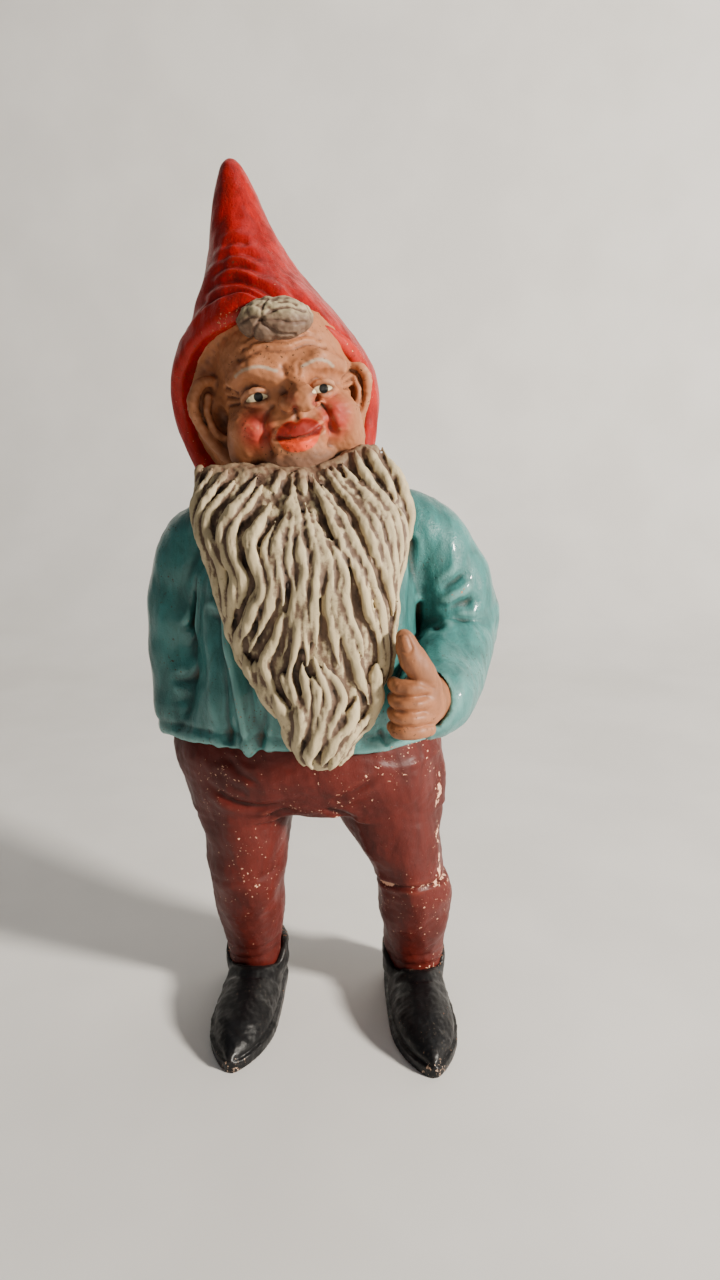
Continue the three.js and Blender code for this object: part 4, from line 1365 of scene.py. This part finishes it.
def jacket_paint():
    p = paints()
    paint = Paint("Jacket teal").brushed(p.jacket, tint(p.jacket, 0.52), 4.2)
    b = paint.b
    # painted shade: the teal darkened in the folds and creases
    paint.shade(b.ramp(paint.hollow, 0.05, 0.42), tint(p.jacket, 0.22), 0.85)
    # painted highlight: the teal made lighter on what stands proud
    paint.shade(b.ramp(paint.hollow, -0.12, -0.5), HIGHLIGHTS_AND_WEAR["jacket"], 0.55)
    paint.chipped(-0.4, 0.8, tint(p.clay, 0.8), tint(p.jacket, 0.4))
    paint.grimy(p.grime, 0.36, 1.0, 0.9)
    return paint.finish(0.55, 0.3, coat=0.35, relief=0.4, specular=0.3, coat_rough=0.07)


# ---------------------------------------------------------------- hand, neck
FIST = Placing((22.0, -38.0, 111.0), np.eye(3))
FINGER_PITCH = 3.75
FIRST_FINGER = 5.4  # height of the first finger above the fist's middle
FINGER_REACH = (0.2, 0.8, 0.6, -0.4)  # how far each finger's knuckles stand out, from the first down


def hand_skin():
    clay = Clay((10, -49, 93), (38, -17, 134), HAND_CELL)
    clay.add(Ball((1.4, 0.8, 0.2), (4.9, 5.8, 8.0), placing=FIST))
    clay.add(Rope([(5.4, 14.5, -2.0), (4.0, 8, -1.4), (2.4, 2.4, -0.2)], [6.5, 6.4, 5.7], FIST), 2.5)
    thumb = [(2.4, 0.0, 4.6), (0.9, -2.6, 9.0), (-1.7, -3.4, 13.6), (-3.1, -3.6, 17.4)]
    clay.add(Rope(thumb, [3.8, 3.5, 3.1, 2.1], FIST), 1.4)
    for i, reach in enumerate(FINGER_REACH):
        level = FIRST_FINGER - FINGER_PITCH * i
        knuckles = [
            (3.4, -2.6, level - 0.2), (-0.4, -5.0 - reach * 0.6, level),
            (-4.2, -4.4 - reach * 0.4, level + 0.1), (-5.4, -0.8, level),
        ]
        clay.add(Rope(knuckles, [1.7, 2.0, 1.95, 1.6], FIST), 0.3)
    skin = clay.surface(3)
    nail = skin.line_distance([(-3.4, -5.8, 17.6), (-2.6, -6.2, 15.6)], FIST)
    height = 0.09 * unevenness(skin.points, 3.6, 51) - 0.28 * bump(nail - 1.3, 0.35)
    for i in range(len(FINGER_REACH) - 1):
        level = FIRST_FINGER - FINGER_PITCH * (i + 0.5)
        groove = [(2.6, -6.0, level), (-1.0, -7.6, level), (-6.2, -5.6, level + 0.1)]
        height -= 0.5 * bump(skin.line_distance(groove, FIST), 0.75)
    thumb_crease = [(-4.6, -6.0, 7.6), (0.6, -6.8, 7.4), (4.4, -4.4, 5.0)]
    return skin.tool(height - 0.6 * bump(skin.line_distance(thumb_crease, FIST), 0.7))


def hand_paint():
    p = paints()
    paint = Paint("Hand skin").brushed(tint(p.skin, 0.86), tint(p.skin, 0.5), 4.0)
    b = paint.b
    # painted shade: the skin darkened in the folds and hollows of the fist
    paint.shade(b.ramp(paint.hollow, 0.02, 0.3), HAND_FOLD_SHADE, 0.9)
    # painted highlight: the skin made lighter on the knuckles and what stands proud
    paint.shade(b.ramp(paint.hollow, -0.1, -0.5), HIGHLIGHTS_AND_WEAR["hand"], 0.45)
    paint.chipped(-0.3, 0.8, p.clay, tint(p.skin, 0.6))
    paint.grimy(p.grime, 0.36, 0.8, 0.85)
    return paint.finish(0.66, 0.46, relief=0.12, specular=0.45)


# ---------------------------------------------------------------- trousers
HIPS = [  # x, y, z, half width, half depth, as in the two legs
    (-4.4, 1, 70, 34.4, 17.4), (-4.8, 1, 73.5, 36.4, 21), (-5.6, 1, 78, 38, 23.6),
    (-6.3, 0.5, 83, 38.6, 24.7),
    (-6.8, 0.5, 88, 38.6, 24.6), (-6.7, 0.5, 93, 36.8, 23.6), (-6.6, 0.5, 96.5, 33, 22),
]
RIGHT_LEG = [
    (-24.3, 7.5, 5, 7.6, 8.4), (-24.8, 6.5, 14, 8.2, 9), (-24.7, 4, 23, 9.2, 9.9), (-25, 0, 35, 10.6, 11.2),
    (-25.1, -2.5, 44, 11.2, 12), (-24.8, -3, 51, 11.5, 12.8), (-24.7, -2, 58, 12.6, 14.5),
    (-25.1, -0.5, 66, 14.2, 16.6), (-25.2, 0.5, 74, 15, 18), (-24, 0.5, 84, 14, 18),
]
LEFT_LEG = [
    (25.6, 5.5, 5, 7.8, 8.4), (25.6, 4.5, 14, 8.7, 9), (25.3, 2, 22, 9.2, 9.9), (24.9, -1, 32, 10.5, 11.2),
    (24.8, -3, 41, 11.1, 12), (23, -3.5, 47.5, 10.2, 11.8), (19.8, -2.5, 57, 12.9, 14.5),
    (17.2, -0.5, 66, 15.4, 16.6), (16.2, 0.5, 74, 16.2, 18), (14.5, 0.5, 84, 15, 18),
]
TROUSER_CREASES = [  # front view: width, depth and x, z of each crease
    (1.1, 0.8, [(-34, 81.5), (-27, 76.2), (-18, 74.4), (-8, 77)]),
    (1.0, 0.5, [(-28, 90), (-24, 85.6), (-18, 82.4)]),
    (1.0, 0.6, [(0, 76), (6, 79.6), (14, 84.6)]),
    (0.9, 0.8, [(-19, 69), (-14, 72.4), (-9, 73.4)]),
    (0.9, 0.8, [(-2, 74), (3, 71.6), (8, 68)]),
]
SEAT_LINE = [(-6, 96), (-5, 82), (-4, 70)]  # down the middle of the seat
OUTER_SEAM = [(31.4, 97), (31.6, 84), (31.2, 70), (31.4, 56), (31.8, 46)]
LEG_RINGS = ((49.5, 0.4), (20, 0.35), (15.6, 0.4))  # height and depth of the folds round the legs


def trousers_skin():
    clay = Clay((-50, -29, 2), (41, 30, 99), sizes().body_cell / MM)
    clay.add(Stack(HIPS))
    clay.add(Stack(RIGHT_LEG), 5.0)
    clay.add(Stack(LEFT_LEG), 5.0)
    skin = clay.surface(6)
    x, y, z = skin.points.T
    facing = smooth_step(-skin.normals()[:, 1], 0.0, 0.5)
    rear = smooth_step(skin.normals()[:, 1], 0.2, 0.7)
    height = 0.35 * unevenness(skin.points, 14, 61) + 0.06 * unevenness(skin.points, 3.4, 62)
    for width, depth, crease in TROUSER_CREASES:
        height += facing * skin.crease(front_view(crease), width, depth, flat=1)
    left = smooth_step(x, 0, 4)
    right = 1 - left
    level = z - (KNEE + 0.5 - 0.022 * (x - 23) ** 2 / 2)  # above the left knee's seam
    height += left * (0.5 * bump(level + 1.4, 1.2) - 0.75 * bump(level, 0.55) + 0.3 * bump(level - 1.5, 1.2))
    for rise, depth in LEG_RINGS:
        height -= right * depth * bump(z - rise - 0.12 * (x + 24), 1.1) * facing
        if rise < KNEE:
            height -= left * depth * bump(z - rise + 1.5 + 0.1 * (x - 24), 1.1) * facing
    height -= 1.1 * rear * bump(skin.line_distance(front_view(SEAT_LINE), flat=1), 1.6)
    for side in (-1, 1):  # the fold under each side of the seat
        fold = front_view([(-4.5 + side * 4, 71), (-4.5 + side * 14, 70), (-4.5 + side * 24, 73)])
        height -= 0.7 * rear * bump(skin.line_distance(fold, flat=1), 1.3)
    skin.tool(height)
    seam = np.hypot(skin.line_distance(front_view(OUTER_SEAM), flat=1), 0.9 * np.maximum(y + 8, 0))
    knee = np.abs(level) + 0.25 + NO_MARK * (1 - left) + NO_MARK * smooth_step(y, -2, 3)
    return skin, {"hollow": skin.hollow(), "seam": np.minimum(seam, knee)}


def trousers_paint():
    p = paints()
    paint = Paint("Trouser brown").brushed(p.trousers, tint(p.trousers, 0.6), 5.0)
    b = paint.b
    # painted shade: the brown darkened in the creases and folds
    paint.shade(b.ramp(paint.hollow, 0.05, 0.45), tint(p.trousers, 0.35), 0.8)
    # painted highlight: the brown made lighter on what stands proud
    paint.shade(b.ramp(paint.hollow, -0.15, -0.6), HIGHLIGHTS_AND_WEAR["trousers"], 0.5)
    paint.chipped(0.2, 0.9, CHIPPED_CLAY, tint(p.trousers, 0.5))
    along_seam = b.edge(b.mark("seam"), b.ragged(paint.place, 2.2, 4.0, 0.65, 9.0), 0.15, -0.1)
    paint.shade(along_seam, CHIPPED_CLAY, 0.95)
    paint.grimy(p.grime, 0.6, 0.35, 0.7)
    return paint.finish(0.52, 0.4, relief=0.2, specular=0.26)


# ---------------------------------------------------------------- shoes
SHOE_UPPER = [  # distance ahead of the ankle, half width, height, from heel to toe
    (-13, 2.6, 9), (-12, 5, 12.6), (-6, 8.2, 14.6), (4, 9, 14), (14, 9.4, 12.6), (24, 9.2, 11), (32, 7, 9),
    (38, 3.6, 6.4), (41, 0.8, 4),
]
SHOE_HEEL = -13.2
SHOE_TOE = 41.2
SHOE_ROUND = 2.3  # exponent of the upper's section: 2 is an oval, more is squarer
FEET = {"right": ((-24.3, 7.0), -1), "left": ((25.6, 5.0), 1)}  # middle of the ankle, and its side
TREAD = 3.2  # thickness of the sole


def shoe_skin(which):
    (fx, fy), side = FEET[which]
    turn = side * SHOE_SPLAY
    forward = np.array([math.sin(turn), -math.cos(turn)])
    rows = spline(SHOE_UPPER, 90)

    def along(x, y):
        """Distance ahead of the ankle, and to the side."""
        return (
            (x - fx) * forward[0] + (y - fy) * forward[1],
            (x - fx) * -forward[1] + (y - fy) * forward[0],
        )

    def oval(x, y, wide, long, back):
        """Distance to an upright oval wall round the ankle."""
        f, a = along(x, y)
        return (np.sqrt((a / wide) ** 2 + ((f + back) / long) ** 2) - 1) * wide

    def upper(x, y, z):
        f, a = along(x, y)
        wide = np.interp(f, rows[:, 0], rows[:, 1])
        tall = np.interp(f, rows[:, 0], rows[:, 2])
        across = np.abs(a / np.maximum(wide, 0.3)) ** SHOE_ROUND
        near = (across + np.abs(z / tall) ** SHOE_ROUND) ** (1 / SHOE_ROUND)
        body = (near - 1) * np.minimum(wide, tall) * 0.9
        return np.maximum(np.maximum(body, -z), np.maximum(SHOE_HEEL - f, f - SHOE_TOE))

    def sole(x, y, z):
        f, a = along(x, y)
        wide = np.interp(f, rows[:, 0], rows[:, 1]) + 0.5
        ends = np.maximum(SHOE_HEEL - 0.4 - f, f - SHOE_TOE + 0.2)
        return np.maximum(np.maximum(np.abs(a) - wide, -z), np.maximum(z - TREAD, ends))

    def quarter(x, y, z):
        """The wall round the heel, higher behind than at the instep."""
        wall = np.abs(oval(x, y, 8.7, 10.2, 1.4)) - 0.75
        top = 11.0 + 4.6 * smooth_step(-along(x, y)[0], -5.5, 2.0)
        return np.maximum(np.maximum(wall, 6 - z), z - top)

    def mouth(x, y, z):
        return np.maximum(oval(x, y, 7.4, 10.2, 0.6), 7.5 - z + 0.22 * along(x, y)[0])

    clay = Clay((fx - 15, fy - 44, -2), (fx + 15, fy + 17, 20), SHOE_CELL)
    clay.add(Shape(upper))
    clay.add(Shape(sole), 0.4)
    clay.add(Shape(quarter), 0.9)
    clay.cut(Shape(mouth), 0.6)
    skin = clay.surface(4)
    x, y, z = skin.points.T
    f, a = along(x, y)
    height = 0.16 * unevenness(skin.points, 7, 71) + 0.05 * unevenness(skin.points, 2.0, 72)
    height -= 0.35 * bump(z - TREAD - 0.4, 0.5) * smooth_step(np.abs(a), 1, 3)
    rim = np.abs(oval(x, y, 7.4, 10.2, 0.6))
    above = smooth_step(z, 6, 9)
    height += 0.4 * bump(rim - 1.6, 0.9) * above - 0.3 * bump(rim - 3.6, 0.6) * above
    skin.tool(height * smooth_step(z, 0.2, 1.6))
    toe = np.hypot(f - 40.5, np.maximum(z - 2.5, 0) * 1.5)
    return skin, {"hollow": skin.hollow(), "toe": toe}


def shoe_paint():
    p = paints()
    paint = Paint("Shoe black").brushed(p.shoes, tint(p.shoes, 0.4), 3.2)
    b = paint.b
    cloudy = b.math("MULTIPLY", b.noise(paint.place, 1.4, 4.0, 0.6), 0.6)
    # painted highlight: the black made lighter on what stands proud
    paint.shade(b.edge(paint.hollow, cloudy, 0.1, -0.12), HIGHLIGHTS_AND_WEAR["shoe"], 0.4)
    paint.chipped(-0.1, 0.8, tint(p.clay, 0.55), tint(p.shoes, 2.0))
    rubbed = b.edge(b.mark("toe"), b.ragged(paint.place, 0.9, 4.0, 0.7, 26.0), -1.4, -1.9)
    paint.shade(rubbed, HIGHLIGHTS_AND_WEAR["toe"], 0.9)
    paint.grimy(SHOE_DUST, 0.5, 0.9, 0.6)
    return paint.finish(0.46, 0.3, relief=0.14, specular=0.28)


def bare_clay():
    p = paints()
    paint = Paint("Bare clay").brushed(tint(p.clay, 0.8), tint(p.clay, 0.55), 5.0)
    paint.grimy(p.grime, 0.5, 0.5, 0.6)
    return paint.finish(0.85, 0.7, relief=0.1)


# ---------------------------------------------------------------- stage, in metres
FLOOR_FRONT = -1.4
FLOOR_BACK = 0.34
CURVE_RADIUS = 0.22
CURVE_STEPS = 12
WALL_TOP = 2.2
HALF_WIDTH = 2.2
LENS = 26.0  # mm
CAMERA_PLACE = (8.5, -252, 185)  # in the figure's frame, mm
CAMERA_PITCH = math.radians(74.8)
WORLD_STRENGTH = 0.11


def sweep_mesh():
    """A floor that curves up into a back wall."""
    profile = [(FLOOR_FRONT, 0.0), (FLOOR_BACK, 0.0)]
    for k in range(1, CURVE_STEPS + 1):
        turn = k / CURVE_STEPS * math.pi / 2
        ahead, up = CURVE_RADIUS * math.sin(turn), CURVE_RADIUS - CURVE_RADIUS * math.cos(turn)
        profile.append((FLOOR_BACK + ahead, up))
    profile.append((FLOOR_BACK + CURVE_RADIUS, WALL_TOP))
    points = [(x, y, z) for y, z in profile for x in (-HALF_WIDTH, HALF_WIDTH)]
    faces = [(2 * k, 2 * k + 1, 2 * k + 3, 2 * k + 2) for k in range(len(profile) - 1)]
    mesh = bpy.data.meshes.new("Sweep")
    mesh.from_pydata(points, [], faces)
    mesh.polygons.foreach_set("use_smooth", [True] * len(faces))
    return mesh


def soft_light(name, where, aim, power, size, colour):
    lamp = bpy.data.lights.new(name, "AREA")
    lamp.shape = "DISK"
    lamp.size = size
    lamp.energy = power
    lamp.color = colour
    piece = bpy.data.objects.new(name, lamp)
    piece.location = where
    piece.rotation_euler = (Vector(aim) - Vector(where)).to_track_quat("-Z", "Y").to_euler()
    bpy.context.scene.collection.objects.link(piece)
    return piece


def sweep_paint():
    material = bpy.data.materials.new("Pale sweep")
    material.use_nodes = True
    tree = material.node_tree
    b = Bench(tree)
    shader = tree.nodes["Principled BSDF"]
    cloudy = b.noise(b.place(), 60.0, 3.0, 0.5)
    colour = b.blend(b.ramp(cloudy, 0.3, 0.7), (0.74, 0.725, 0.70, 1), (0.80, 0.785, 0.76, 1))
    tree.links.new(colour, shader.inputs["Base Color"])
    shader.inputs["Roughness"].default_value = 0.85
    return material


def build_stage():
    sweep = bpy.data.objects.new("Pale sweep", sweep_mesh())
    sweep.data.materials.append(sweep_paint())
    bpy.context.scene.collection.objects.link(sweep)
    key = soft_light("Key light", (0.93, -0.5, 0.5), (0, 0, 0.12), 31.0, 0.16, (1.0, 0.93, 0.83))
    fill = soft_light("Fill light", (-0.9, -0.7, 0.9), (0, 0, 0.1), 0.2, 1.0, (0.86, 0.92, 1.0))
    rim = soft_light("Top light", (0.1, 0.1, 1.2), (0, 0, 0.1), 2.0, 0.8, (1.0, 0.98, 0.95))
    world = bpy.data.worlds.new("Studio air")
    world.use_nodes = True
    air = world.node_tree.nodes["Background"].inputs
    air["Color"].default_value = (0.9, 0.93, 1.0, 1)
    air["Strength"].default_value = WORLD_STRENGTH
    bpy.context.scene.world = world
    camera_data = bpy.data.cameras.new("Camera")
    camera_data.lens = LENS
    camera = bpy.data.objects.new("Camera", camera_data)
    camera.location = [(place + start) * MM for place, start in zip(CAMERA_PLACE, ORIGIN)]
    camera.rotation_euler = (CAMERA_PITCH, 0, 0)
    bpy.context.scene.collection.objects.link(camera)
    bpy.context.scene.camera = camera


# ---------------------------------------------------------------- operators
class GNOME_OT_hood(bpy.types.Operator):
    """Model and paint the pointed hood"""

    bl_idname = "gnome.hood"
    bl_label = "Hood"

    def execute(self, context):
        skin = hood_skin()
        marks = {"hollow": skin.hollow()}
        into_blender("hood_shell", skin, hood_paint(), marks, ["hood"])
        return {"FINISHED"}


class GNOME_OT_head(bpy.types.Operator):
    """Model and paint the head with its two ears"""

    bl_idname = "gnome.head"
    bl_label = "Head and ears"

    def execute(self, context):
        skin, marks = head_skin()
        nodes = ["head", "right_ear", "left_ear"]
        into_blender("head_and_ears", skin, head_paint(), marks, nodes)
        return {"FINISHED"}


class GNOME_OT_forelock(bpy.types.Operator):
    """Model and paint the tuft of hair on the forehead"""

    bl_idname = "gnome.forelock"
    bl_label = "Forelock"

    def execute(self, context):
        skin, marks = forelock_skin()
        into_blender("hair_tuft", skin, forelock_paint(), marks, ["forelock"])
        return {"FINISHED"}


class GNOME_OT_beard(bpy.types.Operator):
    """Model the beard lock by lock and paint it"""

    bl_idname = "gnome.beard"
    bl_label = "Beard"

    def execute(self, context):
        paint = beard_paint()
        skin, marks = beard_skin(paint)
        into_blender("long_beard", skin, paint, marks, ["beard"])
        return {"FINISHED"}


class GNOME_OT_jacket(bpy.types.Operator):
    """Model and paint the jacket with its two sleeves"""

    bl_idname = "gnome.jacket"
    bl_label = "Jacket"

    def execute(self, context):
        skin = jacket_skin()
        marks = {"hollow": skin.hollow()}
        nodes = ["jacket_front", "jacket_back", "right_sleeve", "left_upper_sleeve", "left_forearm_sleeve"]
        into_blender("jacket_with_sleeves", skin, jacket_paint(), marks, nodes)
        return {"FINISHED"}


class GNOME_OT_hand(bpy.types.Operator):
    """Model and paint the left fist with its raised thumb"""

    bl_idname = "gnome.hand"
    bl_label = "Left hand"

    def execute(self, context):
        skin = hand_skin()
        marks = {"hollow": skin.hollow(12)}
        into_blender("left_fist", skin, hand_paint(), marks, ["left_hand"])
        return {"FINISHED"}


class GNOME_OT_trousers(bpy.types.Operator):
    """Model and paint the trousers and stockinged legs"""

    bl_idname = "gnome.trousers"
    bl_label = "Trousers"

    def execute(self, context):
        skin, marks = trousers_skin()
        nodes = ["hips_front", "hips_back", "right_thigh", "left_thigh", "right_shin", "left_shin"]
        into_blender("trousers_and_legs", skin, trousers_paint(), marks, nodes)
        return {"FINISHED"}


class GNOME_OT_shoes(bpy.types.Operator):
    """Model and paint the two pointed shoes"""

    bl_idname = "gnome.shoes"
    bl_label = "Shoes"

    def execute(self, context):
        paint = shoe_paint()
        for which in FEET:
            skin, marks = shoe_skin(which)
            into_blender(f"{which}_pointed_shoe", skin, paint, marks, [f"{which}_shoe"])
        return {"FINISHED"}


class GNOME_OT_inside(bpy.types.Operator):
    """Give the hidden neck stub the look of bare fired clay"""

    bl_idname = "gnome.inside"
    bl_label = "Inside pieces"

    def execute(self, context):
        clay = bare_clay()
        for node in INSIDE_NODES:
            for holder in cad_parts[node].material_slots:
                holder.material = clay
        return {"FINISHED"}


class GNOME_OT_stage(bpy.types.Operator):
    """Set up the pale sweep, the soft lights and the camera"""

    bl_idname = "gnome.stage"
    bl_label = "Stage"

    def execute(self, context):
        build_stage()
        return {"FINISHED"}


INSIDE_NODES = ["neck"]
STEPS = ["hood", "head", "forelock", "beard", "jacket", "hand", "trousers", "shoes", "inside", "stage"]


class GNOME_PT_panel(bpy.types.Panel):
    """Lists the gnome's pieces and its settings"""

    bl_idname = "GNOME_PT_panel"
    bl_label = "Terracotta gnome"
    bl_space_type = "VIEW_3D"
    bl_region_type = "UI"
    bl_category = "Gnome"

    def draw(self, context):
        for step in STEPS:
            self.layout.operator(f"gnome.{step}")
        for settings in (context.scene.gnome_sizes, context.scene.gnome_paints):
            column = self.layout.column()
            for key in settings.__annotations__:
                column.prop(settings, key)


CLASSES = [
    GnomePaints, GnomeSizes, GNOME_OT_hood, GNOME_OT_head, GNOME_OT_forelock, GNOME_OT_beard, GNOME_OT_jacket,
    GNOME_OT_hand, GNOME_OT_trousers, GNOME_OT_shoes, GNOME_OT_inside, GNOME_OT_stage, GNOME_PT_panel,
]


def register():
    for item in CLASSES:
        bpy.utils.register_class(item)
    bpy.types.Scene.gnome_paints = PointerProperty(type=GnomePaints)
    bpy.types.Scene.gnome_sizes = PointerProperty(type=GnomeSizes)


def unregister():
    del bpy.types.Scene.gnome_sizes
    del bpy.types.Scene.gnome_paints
    for item in reversed(CLASSES):
        bpy.utils.unregister_class(item)


def main():
    register()
    for step in STEPS:
        getattr(bpy.ops.gnome, step)()


if __name__ == "__main__":
    main()
